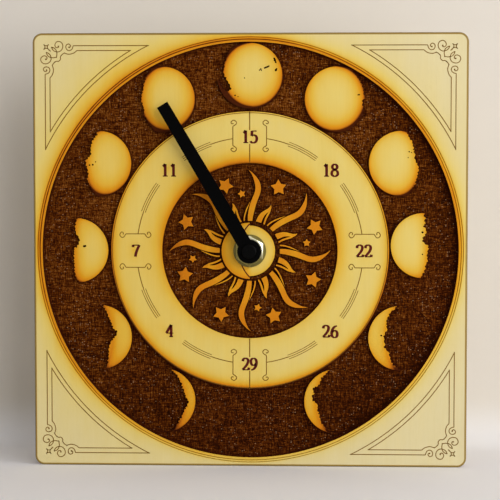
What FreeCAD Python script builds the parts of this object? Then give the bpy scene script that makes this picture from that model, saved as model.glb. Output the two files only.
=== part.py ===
import FreeCAD
import Part
import math
import os

from FreeCAD import Vector

# Moon phase desk clock, millimetres. The wooden face stands upright on its bottom edge.
# X runs to the viewer's right, Y runs from the front to the back, Z runs up.
# The origin is the middle of the face's bottom edge, halfway through its thickness.

# Wooden face
plate_size = 152.4
plate_thick = 6.0
plate_corner = 3.3
plate_edge_round = 0.5
rim_width = 3.1
pocket_depth = 1.5
shade_depth = 0.35
moon_radius = 11.4
moon_rim_gap = 0.45
moon_ring_gap = 1.05
ring_width = 18.0
rim_line_width = 0.22
rim_line_depth = 0.25
rim_line_gap = 0.9
rim_line_step = 0.75

# Sun and stars in the middle pocket; the shares are of that pocket's radius
sun_share = 0.3214
sun_inner_share = 0.289
ray_root_gap = 0.65
long_ray_gap = 2.4
short_ray_share = 0.577
long_ray_count = 8
large_star_orbit_share = 0.792
large_star_share = 0.094
small_star_orbit_share = 0.656
small_star_share = 0.047
star_points = 5
star_waist_share = 0.54

# Rear foot and its hinge
foot_thick = 4.0
foot_reach = 40.0
foot_heel = 6.0
foot_shoulder = 9.0
foot_waist_share = 0.2
foot_case_gap = 4.2
foot_hinge_gap = 0.3
leaf_thick = 0.8
leaf_width = 11.0
leaf_lift = 7.0
leaf_corner = 1.0
leaf_air = 0.1
barrel_radius = 1.5
knuckle_count = 5
knuckle_gap = 0.12
pin_radius = 0.7
pin_head_radius = 1.2
pin_head_thick = 0.5
screw_radius = 0.9
screw_head_radius = 1.7
screw_length = 3.4
screw_slot_width = 0.35
screw_slot_depth = 0.3
screw_edge = 5.0
screw_side = 3.75

# Movement case, as large as the battery and the gear train need
case_wall = 1.4
case_corner = 3.0
bay_wall = 1.0
wheel_floor_gap = 0.58
wheel_roof_gap = 4.06
wheel_post_gap = 0.68
coil_lid_gap = 1.35
lid_gap = 0.05
lid_post_radius = 1.9
lid_screw_radius = 0.7
lid_screw_head_radius = 1.4
lid_screw_head = 0.7
lid_screw_length = 5.0
gasket_radius = 13.0
gasket_thick = 1.0
hanger_radius = 13.0
hanger_thick = 0.8
hanger_width = 16.0
nail_radius = 2.5
nail_lift = 5.0

# Shaft, nut and hand
bush_radius = 3.95
bush_bore_radius = 2.58
bush_flange_radius = 5.5
bush_flange_thick = 0.5
bush_proud = 0.3
plate_hole_gap = 0.2
hanger_hole_gap = 0.15
washer_radius = 5.75
washer_thick = 0.5
nut_flats = 9.4
nut_thick = 2.2
nut_chamfer = 0.4
nut_sides = 6
nut_turn_deg = 30.0
pipe_radius = 2.5
pipe_cavity_radius = 1.4
hand_thick = 0.5
hand_gap = 0.5
hub_radius = 4.2
hub_collar_radius = 3.3
hub_collar = 0.6
hand_root_width = 5.0
hand_tip_width = 4.2
hand_tip_gap = 1.9
hand_turn_deg = 30.7
cap_radius = 2.6
cap_thick = 1.2
cap_round = 0.35

# Gear train
module = 0.4
pinion_teeth = 12
moon_teeth = 48
second_teeth = 36
third_teeth = 36
gear_thick = 0.8
moon_gear_thick = 1.0
layer_gap = 0.5
pinion_overlap = 0.25
arbor_radius = 0.8
pivot_radius = 0.45
pivot_play = 0.05
pivot_seat = 0.8
moon_pivot_radius = 1.0
set_arbor_radius = 1.0
train_plate_thick = 1.2
train_plate_gap = 0.6
train_plate_corner = 2.0
train_plate_margin = 1.0
post_radius = 2.0
post_bore_radius = 0.75
train_screw_radius = 0.7
train_screw_head_radius = 1.4
train_screw_head = 0.6
train_screw_length = 4.0
second_angle_deg = 30.0
third_angle_deg = 110.0
rotor_angle_deg = 175.0
setting_angle_deg = -35.0
lightening_count = 5
lightening_share = 0.36

# Motor
magnet_radius = 3.0
magnet_thick = 2.0
magnet_hole_gap = 0.6
stator_thick = 0.8
stator_arm = 4.0
stator_rise = 3.0
stator_side = 3.2
stator_foot = 3.5
stator_notch = 0.5
coil_core_width = 3.0
coil_flange = 9.0
coil_flange_thick = 0.8
coil_tube_wall = 0.6
coil_fit = 0.1
coil_end_gap = 0.2
coil_wall_gap = 0.3
winding_thick = 2.0
winding_round = 1.6

# Circuit and battery
board_thick = 0.8
board_stator_gap = 8.8
board_screw_gap = 1.0
chip_radius = 2.6
chip_height = 1.0
chip_round = 0.8
chip_place_share = 0.62
crystal_radius = 1.0
crystal_length = 6.0
contact_thick = 0.4
contact_width = 9.0
strip_width = 2.0
bow_room = 2.25
battery_radius = 7.25
battery_length = 49.5
battery_nub_radius = 2.75
battery_nub = 1.0
battery_gap = 0.3
battery_round = 0.5

# Setting knob
knob_radius = 4.5
knob_thick = 3.4
knob_gap = 0.4
knob_flutes = 16
knob_flute_depth = 0.35
knob_slot_depth = 0.6

# Shared values
running_gap = 0.05
seat_gap = 0.02
overrun = 1.0

# Moons clockwise from the full moon: whether the left limb is lit, whether the dark part
# shows as a deeper disc, and the lit part's inner edge from top to bottom, across and up
# from the moon's middle in moon radii. The new moon has no lit part.
moon_shares = [
    (False, False, [
        (-0.62, 0.80), (-0.70, 0.60), (-0.75, 0.54), (-0.71, 0.50), (-0.77, 0.41), (-0.78, 0.25),
        (-0.81, 0.14), (-0.77, 0.02), (-0.70, -0.14), (-0.66, -0.19), (-0.60, -0.31),
        (-0.57, -0.43), (-0.68, -0.48), (-0.81, -0.41), (-0.90, -0.28), (-0.95, -0.15),
        (-1.10, -0.12),
    ]),
    (True, False, [
        (0.42, 1.00), (0.49, 0.81), (0.60, 0.68), (0.73, 0.48), (0.775, 0.35), (0.80, 0.13),
        (0.86, 0.04), (0.775, -0.01), (0.75, -0.15), (0.80, -0.31), (0.76, -0.45), (0.62, -0.67),
        (0.49, -0.81), (0.30, -1.02),
    ]),
    (True, False, [
        (0.10, 1.02), (0.16, 0.95), (0.24, 0.76), (0.32, 0.67), (0.35, 0.51), (0.39, 0.32),
        (0.41, 0.23), (0.38, 0.16), (0.43, 0.07), (0.50, -0.07), (0.52, -0.23), (0.46, -0.45),
        (0.41, -0.65), (0.27, -0.84), (0.13, -1.02),
    ]),
    (True, False, [
        (0.00, 1.02), (0.03, 0.97), (0.01, 0.89), (0.07, 0.83), (0.01, 0.755), (0.06, 0.68),
        (-0.02, 0.61), (0.07, 0.52), (0.08, 0.38), (0.01, 0.28), (-0.05, 0.157), (0.03, 0.07),
        (0.15, -0.01), (0.14, -0.13), (0.11, -0.265), (0.13, -0.44), (0.07, -0.60),
        (0.05, -0.735), (-0.03, -0.89), (-0.106, -1.02),
    ]),
    (True, True, [
        (-0.12, 1.02), (-0.22, 0.87), (-0.31, 0.82), (-0.40, 0.66), (-0.45, 0.52), (-0.43, 0.32),
        (-0.43, 0.22), (-0.49, 0.145), (-0.52, 0.02), (-0.52, -0.085), (-0.48, -0.17),
        (-0.53, -0.26), (-0.45, -0.36), (-0.38, -0.42), (-0.34, -0.56), (-0.30, -0.72),
        (-0.22, -0.85), (0.03, -1.02),
    ]),
    (True, True, [
        (-0.18, 1.02), (-0.24, 0.96), (-0.386, 0.817), (-0.49, 0.71), (-0.52, 0.57), (-0.58, 0.48),
        (-0.733, 0.425), (-0.724, 0.28), (-0.68, 0.25), (-0.76, 0.194), (-0.75, 0.05),
        (-0.635, -0.055), (-0.58, -0.144), (-0.60, -0.27), (-0.53, -0.46), (-0.48, -0.66),
        (-0.37, -0.80), (-0.315, -0.93), (-0.25, -1.02),
    ]),
    (True, False, []),
    (False, True, [
        (0.20, 1.02), (0.26, 0.965), (0.454, 0.77), (0.56, 0.56), (0.65, 0.31), (0.72, 0.085),
        (0.80, -0.02), (0.75, -0.14), (0.657, -0.32), (0.58, -0.50), (0.454, -0.725),
        (0.33, -0.91), (0.25, -1.02),
    ]),
    (False, False, [
        (0.10, 1.02), (0.12, 0.957), (0.21, 0.825), (0.265, 0.68), (0.37, 0.45), (0.42, 0.26),
        (0.557, 0.18), (0.53, 0.08), (0.37, -0.11), (0.31, -0.235), (0.28, -0.41), (0.28, -0.64),
        (0.24, -0.82), (0.17, -1.02),
    ]),
    (False, False, [
        (0.05, 1.02), (0.00, 0.88), (-0.03, 0.72), (0.00, 0.545), (0.05, 0.467), (0.11, 0.35),
        (0.09, 0.22), (0.04, 0.114), (-0.06, 0.075), (-0.06, -0.20), (-0.05, -0.49),
        (-0.04, -0.69), (0.01, -0.87), (0.11, -1.02),
    ]),
    (False, False, [
        (-0.10, 1.02), (-0.03, 0.90), (-0.20, 0.71), (-0.25, 0.447), (-0.235, 0.27), (-0.38, 0.12),
        (-0.40, -0.02), (-0.35, -0.17), (-0.33, -0.35), (-0.36, -0.50), (-0.28, -0.68),
        (-0.20, -0.85), (-0.05, -1.02),
    ]),
    (False, False, [
        (-0.30, 1.02), (-0.35, 0.90), (-0.476, 0.74), (-0.565, 0.50), (-0.58, 0.33), (-0.64, 0.12),
        (-0.65, -0.03), (-0.59, -0.20), (-0.55, -0.35), (-0.61, -0.50), (-0.49, -0.585),
        (-0.45, -0.70), (-0.33, -0.85), (-0.20, -1.02),
    ]),
]
moon_count = len(moon_shares)
# The last quarter sits a little off the circle of the others.
moon_nudge_shares = {3: (-0.04, 0.17)}
moon_overreach_share = 1.2
# Small craters, each one or more overlapping discs: moon number, place across and up, and
# radius, in moon radii.
crater_shares = [
    (0, 0.30, 0.17, 0.022), (0, 0.34, 0.20, 0.026), (0, 0.36, 0.16, 0.018),
    (0, 0.46, 0.235, 0.026), (0, 0.50, 0.255, 0.030), (0, 0.545, 0.27, 0.030),
    (0, 0.585, 0.29, 0.024), (0, 0.75, 0.52, 0.030), (0, 0.77, 0.47, 0.036),
    (0, 0.795, 0.41, 0.030), (0, 0.80, 0.17, 0.036), (0, 0.82, 0.205, 0.026),
    (0, -0.16, -0.07, 0.018), (0, -0.45, -0.60, 0.024), (0, -0.36, -0.64, 0.016),
    (1, 0.63, 0.13, 0.022), (1, 0.665, 0.135, 0.024), (2, 0.23, 0.36, 0.022),
    (2, 0.30, 0.34, 0.016), (2, 0.20, 0.18, 0.016), (3, -0.03, 0.41, 0.034),
    (3, -0.03, -0.265, 0.022), (4, -0.60, 0.083, 0.028), (9, 0.25, 0.13, 0.036),
    (9, 0.285, 0.14, 0.032), (10, -0.10, 0.05, 0.020), (10, -0.19, -0.04, 0.028),
    (10, -0.29, -0.05, 0.026),
]
# Small teeth of a rough edge: distance between them and most height, in moon radii, and
# the waves that vary the height: waves per moon radius, shift from moon to moon, height.
tooth_step_share = 0.042
tooth_share = 0.034
tooth_least_share = 0.25
tooth_wave_shares = [(5.3, 1.7, 0.294), (11.9, 2.9, 0.294), (23.7, 4.1, 0.412)]

# Ray stations, from root to tip: distance from the dial's centre, sideways shift
# (clockwise positive) and half width, all in ray tip distances.
long_ray_shares = [
    (0.497, 0.021, 0.035), (0.621, 0.057, 0.037), (0.770, 0.104, 0.034),
    (0.870, 0.084, 0.029), (0.945, 0.040, 0.014), (0.985, 0.004, 0.005),
]
long_ray_root_shares = (0.004, 0.028)
long_ray_tip_share = -0.014
long_sliver_shares = [
    (0.440, -0.061, 0.0080), (0.520, -0.035, 0.0075),
]
long_sliver_root_shares = (-0.068, 0.0078)
long_sliver_tip_shares = (0.618, 0.008)
# Short ray stations: distance in short tip distances, turn past the long ray in steps
# between long rays, half width in short tip distances.
short_ray_shares = [
    (0.679, 0.393, 0.0521), (0.754, 0.426, 0.0481), (0.822, 0.480, 0.0430),
    (0.867, 0.528, 0.0400), (0.914, 0.560, 0.0290), (0.955, 0.566, 0.0180),
]
short_ray_root_shares = (0.377, 0.0540)
short_ray_tip_share = 0.554
short_sliver_shares = [
    (0.700, 0.592, 0.0165), (0.782, 0.590, 0.0175), (0.850, 0.597, 0.0150),
    (0.900, 0.592, 0.0090),
]
short_sliver_root_shares = (0.628, 0.0141)
short_sliver_tip_shares = (0.950, 0.575)
large_star_turn_deg = 27.0
small_star_turn_deg = 10.0
large_star_first_deg = 20.5
large_star_count = 8
small_star_first_deg = 8.0
small_star_count = 4

# Tooth half widths as shares of the tooth pitch, and heights as shares of the module.
tooth_root_share = 0.27
tooth_pitch_share = 0.205
tooth_tip_share = 0.10
addendum_share = 0.80
dedendum_share = 1.15


def polar(radius, angle_deg):
    """Point in the dial plane, angle measured from the right towards the top."""
    angle = math.radians(angle_deg)
    return (radius * math.cos(angle), radius * math.sin(angle))


def pitch_radius(teeth):
    return module * teeth / 2


def tip_radius(teeth):
    return pitch_radius(teeth) + addendum_share * module


def place_from(origin, lead_teeth, direction_deg):
    """Place of a pinion that meshes with the wheel at the origin."""
    distance = pitch_radius(lead_teeth) + pitch_radius(pinion_teeth)
    dx, dz = polar(distance, direction_deg)
    return (origin[0] + dx, origin[1] + dz)


# Places of the arbors, seen from the front, from the dial's centre
second_place = place_from((0, 0), moon_teeth, second_angle_deg)
third_place = place_from(second_place, second_teeth, third_angle_deg)
rotor_place = place_from(third_place, third_teeth, rotor_angle_deg)
setting_place = place_from((0, 0), moon_teeth, setting_angle_deg)

# Wooden face and its drawing
dial_z = plate_size / 2
face_y = -plate_thick / 2
back_y = plate_thick / 2
pocket_radius = plate_size / 2 - rim_width
orbit_radius = pocket_radius - moon_rim_gap - moon_radius
ring_outer = orbit_radius - moon_radius - moon_ring_gap
ring_inner = ring_outer - ring_width
sun_radius = sun_share * ring_inner
sun_inner_radius = sun_inner_share * ring_inner
ray_root_radius = sun_radius + ray_root_gap
long_ray_reach = ring_inner - long_ray_gap
short_ray_reach = short_ray_share * ring_inner

# Layers from the face to the back
hanger_y = back_y + gasket_thick
case_y = hanger_y + hanger_thick
room_y = case_y + case_wall
moon_layer = room_y + bush_flange_thick + layer_gap / 2
second_layer = moon_layer + moon_gear_thick + layer_gap
third_layer = second_layer + gear_thick + layer_gap
train_plate_y = third_layer + gear_thick + train_plate_gap
train_back_y = train_plate_y + train_plate_thick
stator_back_y = train_back_y + stator_thick
core_middle_y = stator_back_y + stator_thick / 2
lid_y = core_middle_y + coil_flange / 2 + coil_lid_gap
case_back_y = lid_y + case_wall
case_depth = case_back_y - case_y
bush_tip_y = face_y - washer_thick - nut_thick - bush_proud
hand_back_y = bush_tip_y - hand_gap - hub_collar
hand_front_y = hand_back_y - hand_thick

# Rooms of the case: wide enough for the battery with its contacts, and for the train
# with its posts
battery_room = battery_length + battery_nub + bow_room + contact_thick + running_gap
train_room = 2 * (second_place[0] + tip_radius(second_teeth) + wheel_post_gap + 4 * post_radius)
half_room = max(battery_room, train_room) / 2
half_case = half_room + case_wall
room_roof_z = third_place[1] + tip_radius(third_teeth) + wheel_roof_gap
room_floor_z = -tip_radius(moon_teeth) - wheel_floor_gap
bay_roof_z = room_floor_z - bay_wall
bay_floor_z = bay_roof_z - 2 * (battery_radius + battery_gap)
case_high_z = room_roof_z + case_wall
case_low_z = bay_floor_z - case_wall
battery_y = room_y + battery_radius + battery_gap
battery_z = bay_floor_z + battery_gap + battery_radius


def vec(point):
    return Vector(point[0], 0, point[1])


def disc(radius, x=0, z=0):
    circle = Part.makeCircle(radius, Vector(x, 0, z), Vector(0, -1, 0))
    return Part.Face(Part.Wire([circle]))


def polygon(points):
    corners = [vec(point) for point in points]
    corners.append(corners[0])
    return Part.Face(Part.makePolygon(corners))


def rectangle(x_low, x_high, z_low, z_high):
    return polygon([(x_low, z_low), (x_high, z_low), (x_high, z_high), (x_low, z_high)])


def slab(face, y_front, thick):
    """Solid made from a face of the dial plane, from y_front towards the back."""
    moved = face.copy()
    moved.translate(Vector(0, y_front, 0))
    return moved.extrude(Vector(0, thick, 0))


def rod(radius, y_front, y_back, x=0, z=0):
    return Part.makeCylinder(radius, y_back - y_front, Vector(x, y_front, z), Vector(0, 1, 0))


def block(x_low, x_high, y_low, y_high, z_low, z_high):
    corner = Vector(x_low, y_low, z_low)
    return Part.makeBox(x_high - x_low, y_high - y_low, z_high - z_low, corner)


def rounded_edges(solid, radius, wanted):
    """Fillet the straight edges that the test function picks."""
    edges = [edge for edge in solid.Edges if wanted(edge)]
    return solid.makeFillet(radius, edges)


def runs_along(edge, axis):
    if edge.Curve.TypeId != "Part::GeomLine":
        return False
    direction = edge.tangentAt(edge.FirstParameter)
    return abs(abs(direction.dot(axis)) - 1) < seat_gap


def fuse_all(solids):
    joined = solids[0].fuse(solids[1:])
    return joined.removeSplitter()


# Wooden face


def star_face(radius, x, z, turn_deg):
    points = []
    for step in range(2 * star_points):
        reach = radius if step % 2 == 0 else radius * star_waist_share
        dx, dz = polar(reach, turn_deg + step * 180 / star_points)
        points.append((x + dx, z + dz))
    return polygon(points)


def stroke_face(left, right, tip):
    """Closed outline through a left and a right side that meet in a tip."""
    left_curve = Part.BSplineCurve()
    left_curve.interpolate([vec(point) for point in left + [tip]])
    right_curve = Part.BSplineCurve()
    right_curve.interpolate([vec(point) for point in right + [tip]])
    root = Part.LineSegment(vec(right[0]), vec(left[0]))
    edges = [left_curve.toShape(), right_curve.toShape(), root.toShape()]
    return Part.Face(Part.Wire(Part.__sortEdges__(edges)))


def shifted(distance, sideways, angle_deg):
    """Point at a distance along a ray, moved clockwise off its middle line."""
    x, z = polar(distance, angle_deg)
    dx, dz = polar(sideways, angle_deg - 90)
    return (x + dx, z + dz)


def straight_stroke(angle_deg, reach, root, stations, tip):
    """A stroke that runs along a fixed ray direction; all sizes are shares of reach."""
    left = [shifted(ray_root_radius, (root[0] - root[1]) * reach, angle_deg)]
    right = [shifted(ray_root_radius, (root[0] + root[1]) * reach, angle_deg)]
    for along, sideways, half in stations:
        left.append(shifted(along * reach, (sideways - half) * reach, angle_deg))
        right.append(shifted(along * reach, (sideways + half) * reach, angle_deg))
    return stroke_face(left, right, shifted(tip[0] * reach, tip[1] * reach, angle_deg))


def turning_stroke(angle_deg, step_deg, reach, root, stations, tip):
    """A stroke whose middle line turns clockwise from the long ray at angle_deg."""
    rows = [(ray_root_radius / reach, root[0], root[1])] + stations
    left = []
    right = []
    for along, turn, half in rows:
        direction = angle_deg - turn * step_deg
        left.append(shifted(along * reach, -half * reach, direction))
        right.append(shifted(along * reach, half * reach, direction))
    tip_point = polar(tip[0] * reach, angle_deg - tip[1] * step_deg)
    return stroke_face(left, right, tip_point)


def ray_faces():
    faces = []
    step_deg = 360 / long_ray_count
    for number in range(long_ray_count):
        angle_deg = number * step_deg
        faces.append(straight_stroke(angle_deg, long_ray_reach, long_ray_root_shares,
                                     long_ray_shares, (1, long_ray_tip_share)))
        faces.append(straight_stroke(angle_deg, long_ray_reach, long_sliver_root_shares,
                                     long_sliver_shares, long_sliver_tip_shares))
        faces.append(turning_stroke(angle_deg, step_deg, short_ray_reach, short_ray_root_shares,
                                    short_ray_shares, (1, short_ray_tip_share)))
        faces.append(turning_stroke(angle_deg, step_deg, short_ray_reach,
                                    short_sliver_root_shares, short_sliver_shares,
                                    short_sliver_tip_shares))
    return faces


def sun_face():
    left_side = rectangle(-2 * sun_radius, 0, -2 * sun_radius, 2 * sun_radius)
    return disc(sun_radius).common(left_side).fuse(disc(sun_inner_radius))


def ring_of_stars(count, first_deg, orbit_share, size_share, star_turn_deg):
    stars = []
    for number in range(count):
        angle_deg = first_deg + number * 360 / count
        x, z = polar(orbit_share * ring_inner, angle_deg)
        stars.append(star_face(size_share * ring_inner, x, z, angle_deg + star_turn_deg))
    return stars


def sky_faces():
    """Everything that stays at full height inside the middle pocket."""
    large = ring_of_stars(large_star_count, large_star_first_deg, large_star_orbit_share,
                          large_star_share, large_star_turn_deg)
    small = ring_of_stars(small_star_count, small_star_first_deg, small_star_orbit_share,
                          small_star_share, small_star_turn_deg)
    return ray_faces() + large + small + [sun_face()]


def roughness(number, along):
    """Uneven edge of a lit part, from minus one to one, different on each moon."""
    return sum(height * math.sin(waves * along + shift * number)
               for waves, shift, height in tooth_wave_shares)


def rough_edge(number, edge):
    """The edge with small teeth all along it, to and fro across its straight pieces."""
    points = [edge[0]]
    way = 1
    for (start_across, start_up), (end_across, end_up) in zip(edge, edge[1:]):
        across = end_across - start_across
        up = end_up - start_up
        reach = math.hypot(across, up)
        steps = max(2, round(reach / tooth_step_share))
        for step in range(1, steps):
            way = -way
            high = tooth_least_share + (1 - tooth_least_share) * abs(roughness(number, start_up + step))
            push = way * high * tooth_share / reach
            share = step / steps
            points.append((start_across + across * share + up * push,
                           start_up + up * share - across * push))
        points.append((end_across, end_up))
    return points


def moon_centre(number):
    x, z = polar(orbit_radius, 90 - number * 360 / moon_count)
    across, up = moon_nudge_shares.get(number, (0, 0))
    return (x + across * moon_radius, z + up * moon_radius)


def moon_face(number):
    """Lit part of one moon: its disc as far as the rough inner edge."""
    lit_left, shaded, edge = moon_shares[number]
    x, z = moon_centre(number)
    reach = moon_overreach_share
    side = -reach if lit_left else reach
    outline = rough_edge(number, edge)
    outline += [(edge[-1][0], -reach), (side, -reach), (side, reach), (edge[0][0], reach)]
    around = polygon([(x + across * moon_radius, z + up * moon_radius) for across, up in outline])
    return disc(moon_radius, x, z).common(around)


def shade_face(number):
    """The dark part of a thin crescent."""
    x, z = moon_centre(number)
    return disc(moon_radius, x, z).cut(moon_face(number))


def crater_faces(number):
    x, z = moon_centre(number)
    faces = []
    for moon, across, up, size in crater_shares:
        if moon == number:
            faces.append(disc(size * moon_radius, x + across * moon_radius, z + up * moon_radius))
    return faces


def rim_line(radius):
    ring = disc(radius + rim_line_width / 2).cut(disc(radius - rim_line_width / 2))
    return slab(ring, face_y - overrun, overrun + rim_line_depth)


def make_face_plate():
    half = plate_size / 2
    body = slab(rectangle(-half, half, -half, half), face_y, plate_thick)
    body = rounded_edges(body, plate_corner, lambda edge: runs_along(edge, Vector(0, 1, 0)))
    rim_edges = [edge for edge in body.Edges if edge.BoundBox.YLength < seat_gap]
    body = body.makeFillet(plate_edge_round, rim_edges)
    lit = [moon_face(number) for number in range(moon_count) if moon_shares[number][2]]
    craters = [face for number in range(moon_count) for face in crater_faces(number)]
    lit_faces = Part.makeCompound(lit).cut(craters)
    sky = disc(pocket_radius).cut([disc(ring_outer)])
    sky = sky.cut([lit_faces])
    middle = disc(ring_inner).cut(sky_faces())
    shade = Part.makeCompound([shade_face(number) for number in range(moon_count)
                               if moon_shares[number][1]])
    cutters = [
        slab(sky, face_y - overrun, overrun + pocket_depth),
        slab(middle, face_y - overrun, overrun + pocket_depth),
        slab(shade, face_y, pocket_depth + shade_depth),
        rod(bush_radius + plate_hole_gap, face_y - overrun, back_y + overrun),
        rim_line(pocket_radius + rim_line_gap),
        rim_line(pocket_radius + rim_line_gap + rim_line_step),
    ]
    for x, z in hinge_screw_places():
        hole = rod(screw_radius + running_gap, back_y - screw_length, back_y + overrun, x, z - dial_z)
        cutters.append(hole)
    return lifted(body.cut(cutters))


def lifted(shape):
    """Raise a shape drawn about the dial's centre to its place above the table."""
    moved = shape.copy()
    moved.translate(Vector(0, 0, dial_z))
    return moved


# Rear foot and its hinge


hinge_y = back_y + leaf_air + barrel_radius
foot_height = dial_z + case_low_z - foot_case_gap
leaf_height = foot_height - 2 * leaf_lift
leaf_inner_x = barrel_radius - leaf_thick
foot_front_y = hinge_y + barrel_radius + foot_hinge_gap
foot_x_low = leaf_inner_x - foot_thick


def hinge_screw_places():
    """Places of the screws that hold the fixed leaf to the face."""
    low = leaf_lift + screw_edge
    high = leaf_lift + leaf_height - screw_edge
    across = screw_side - leaf_width
    return [(across, low), (across, (low + high) / 2), (across, high)]


def foot_screw_places():
    """The same places on the moving leaf, as distance behind the hinge and height."""
    return [(-x, z) for x, z in hinge_screw_places()]


def make_rear_foot():
    rear_y = foot_front_y + foot_reach
    waist_y = foot_front_y + foot_shoulder + foot_reach * foot_waist_share
    waist_z = foot_heel + foot_height * foot_waist_share
    waist = Vector(0, waist_y, waist_z)
    corners = [
        Vector(0, foot_front_y, 0),
        Vector(0, rear_y, 0),
        Vector(0, rear_y, foot_heel),
        Vector(0, foot_front_y + foot_shoulder, foot_height),
        Vector(0, foot_front_y, foot_height),
    ]
    edges = [
        Part.LineSegment(corners[0], corners[1]).toShape(),
        Part.LineSegment(corners[1], corners[2]).toShape(),
        Part.Arc(corners[2], waist, corners[3]).toShape(),
        Part.LineSegment(corners[3], corners[4]).toShape(),
        Part.LineSegment(corners[4], corners[0]).toShape(),
    ]
    board = Part.Face(Part.Wire(edges)).extrude(Vector(foot_thick, 0, 0))
    board.translate(Vector(foot_x_low, 0, 0))
    depth = screw_length - leaf_thick + running_gap
    for behind, z in foot_screw_places():
        start = Vector(leaf_inner_x + overrun, hinge_y + behind, z)
        hole = Part.makeCylinder(screw_radius + running_gap, overrun + depth, start, Vector(-1, 0, 0))
        board = board.cut(hole)
    return board


def knuckle_span(number):
    """Lower and upper height of one knuckle of the barrel."""
    pitch = leaf_height / knuckle_count
    low = leaf_lift + number * pitch
    return (low + knuckle_gap / 2, low + pitch - knuckle_gap / 2)


def upright(radius, z_low, z_high):
    centre = Vector(0, hinge_y, z_low)
    return Part.makeCylinder(radius, z_high - z_low, centre)


def make_leaf(first_knuckle, bore_radius, heads):
    """A leaf lying flat on the back of the face, on the side of negative X."""
    y_low = hinge_y - barrel_radius - leaf_air * (first_knuckle == 0)
    y_high = hinge_y - barrel_radius + leaf_thick
    plate = block(-leaf_width, 0, y_low, y_high, leaf_lift, leaf_lift + leaf_height)
    outer = [edge for edge in plate.Edges
             if runs_along(edge, Vector(0, 1, 0)) and edge.BoundBox.XMax < -leaf_width / 2]
    plate = plate.makeFillet(leaf_corner, outer)
    knuckles = []
    for number in range(knuckle_count):
        z_low, z_high = knuckle_span(number)
        if number % 2 == first_knuckle:
            knuckles.append(upright(barrel_radius, z_low, z_high))
        else:
            room = upright(barrel_radius + knuckle_gap, z_low - knuckle_gap, z_high + knuckle_gap)
            plate = plate.cut(room)
    leaf = plate.fuse(knuckles)
    leaf = leaf.cut(upright(bore_radius, leaf_lift - overrun, leaf_lift + leaf_height + overrun))
    for x, z in hinge_screw_places():
        leaf = leaf.cut(screw_blank(x, z, heads, running_gap))
    return leaf


# Where the flat screw heads lie, and which way the shanks point along Y.
face_heads = (hinge_y - barrel_radius + leaf_thick, -1)
foot_heads = (hinge_y - barrel_radius, 1)


def screw_blank(x, z, heads, grow):
    """Countersunk screw along Y without its slot; grow widens it for a hole."""
    y_head, way = heads
    head = Vector(x, y_head, z)
    inward = Vector(0, way, 0)
    shank = Part.makeCylinder(screw_radius + grow, screw_length + grow, head, inward)
    cone = Part.makeCone(screw_head_radius + grow, screw_radius + grow, leaf_thick, head, inward)
    return shank.fuse(cone)


def leaf_screw(x, z, heads):
    y_head = heads[0]
    slot = block(x - screw_head_radius, x + screw_head_radius, y_head - screw_slot_depth,
                 y_head + screw_slot_depth, z - screw_slot_width / 2, z + screw_slot_width / 2)
    return screw_blank(x, z, heads, 0).cut(slot)


def swung(shape):
    """Turn a piece drawn on the fixed side of the hinge to the open side, behind the face."""
    flipped = shape.mirror(Vector(0, 0, 0), Vector(1, 0, 0))
    flipped.rotate(Vector(0, hinge_y, 0), Vector(0, 0, 1), 90)
    return flipped


def make_fixed_leaf():
    return make_leaf(0, pin_radius + seat_gap, face_heads)


def make_moving_leaf():
    return swung(make_leaf(1, pin_radius + running_gap, foot_heads))


def make_hinge_pin():
    low = leaf_lift - pin_head_thick
    high = leaf_lift + leaf_height
    return fuse_all([
        upright(pin_radius, low, high + pin_head_thick),
        upright(pin_head_radius, low, leaf_lift),
        upright(pin_head_radius, high, high + pin_head_thick),
    ])


def make_face_screws():
    return Part.makeCompound([leaf_screw(x, z, face_heads) for x, z in hinge_screw_places()])


def make_foot_screws():
    screws = [leaf_screw(x, z, foot_heads) for x, z in hinge_screw_places()]
    return Part.makeCompound([swung(screw) for screw in screws])


# Gears


def gear_face(teeth, turn_deg, x, z):
    """Spur gear outline; turn_deg is the direction of its first tooth."""
    root = pitch_radius(teeth) - dedendum_share * module
    pitch = pitch_radius(teeth)
    tip = tip_radius(teeth)
    points = []
    profile = [
        (root, -tooth_root_share), (pitch, -tooth_pitch_share), (tip, -tooth_tip_share),
        (tip, tooth_tip_share), (pitch, tooth_pitch_share), (root, tooth_root_share),
    ]
    for tooth in range(teeth):
        for radius, share in profile:
            dx, dz = polar(radius, turn_deg + (tooth + share) * 360 / teeth)
            points.append((x + dx, z + dz))
    return polygon(points)


def meshed_turn(lead_teeth, lead_turn_deg, teeth, direction_deg):
    """First tooth direction of a gear that meshes with a leading gear."""
    half_step = 180 / teeth
    return direction_deg + 180 + half_step + (direction_deg - lead_turn_deg) * lead_teeth / teeth


def lightening_holes(teeth, x, z, inner_radius):
    """Round holes through the web of a wheel."""
    rim_radius = pitch_radius(teeth) - (dedendum_share + 1) * module
    middle = (rim_radius + inner_radius) / 2
    hole_radius = (rim_radius - inner_radius) * lightening_share
    holes = []
    for number in range(lightening_count):
        dx, dz = polar(middle, 90 + number * 360 / lightening_count)
        holes.append(disc(hole_radius, x + dx, z + dz))
    return holes


def wheel(teeth, turn_deg, x, z, y_front, thick, inner_radius):
    web = gear_face(teeth, turn_deg, x, z).cut(lightening_holes(teeth, x, z, inner_radius))
    return slab(web, y_front, thick)


moon_turn = 0
second_pinion_turn = meshed_turn(moon_teeth, moon_turn, pinion_teeth, second_angle_deg)
third_pinion_turn = meshed_turn(second_teeth, second_pinion_turn, pinion_teeth, third_angle_deg)
rotor_pinion_turn = meshed_turn(third_teeth, third_pinion_turn, pinion_teeth, rotor_angle_deg)
setting_pinion_turn = meshed_turn(moon_teeth, moon_turn, pinion_teeth, setting_angle_deg)

front_pivot_y = room_y - pivot_seat + running_gap
train_pivot_y = train_back_y - running_gap


def pinion(turn_deg, place, y_front, y_back):
    face = gear_face(pinion_teeth, turn_deg, place[0], place[1])
    return slab(face, y_front, y_back - y_front)


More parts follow.
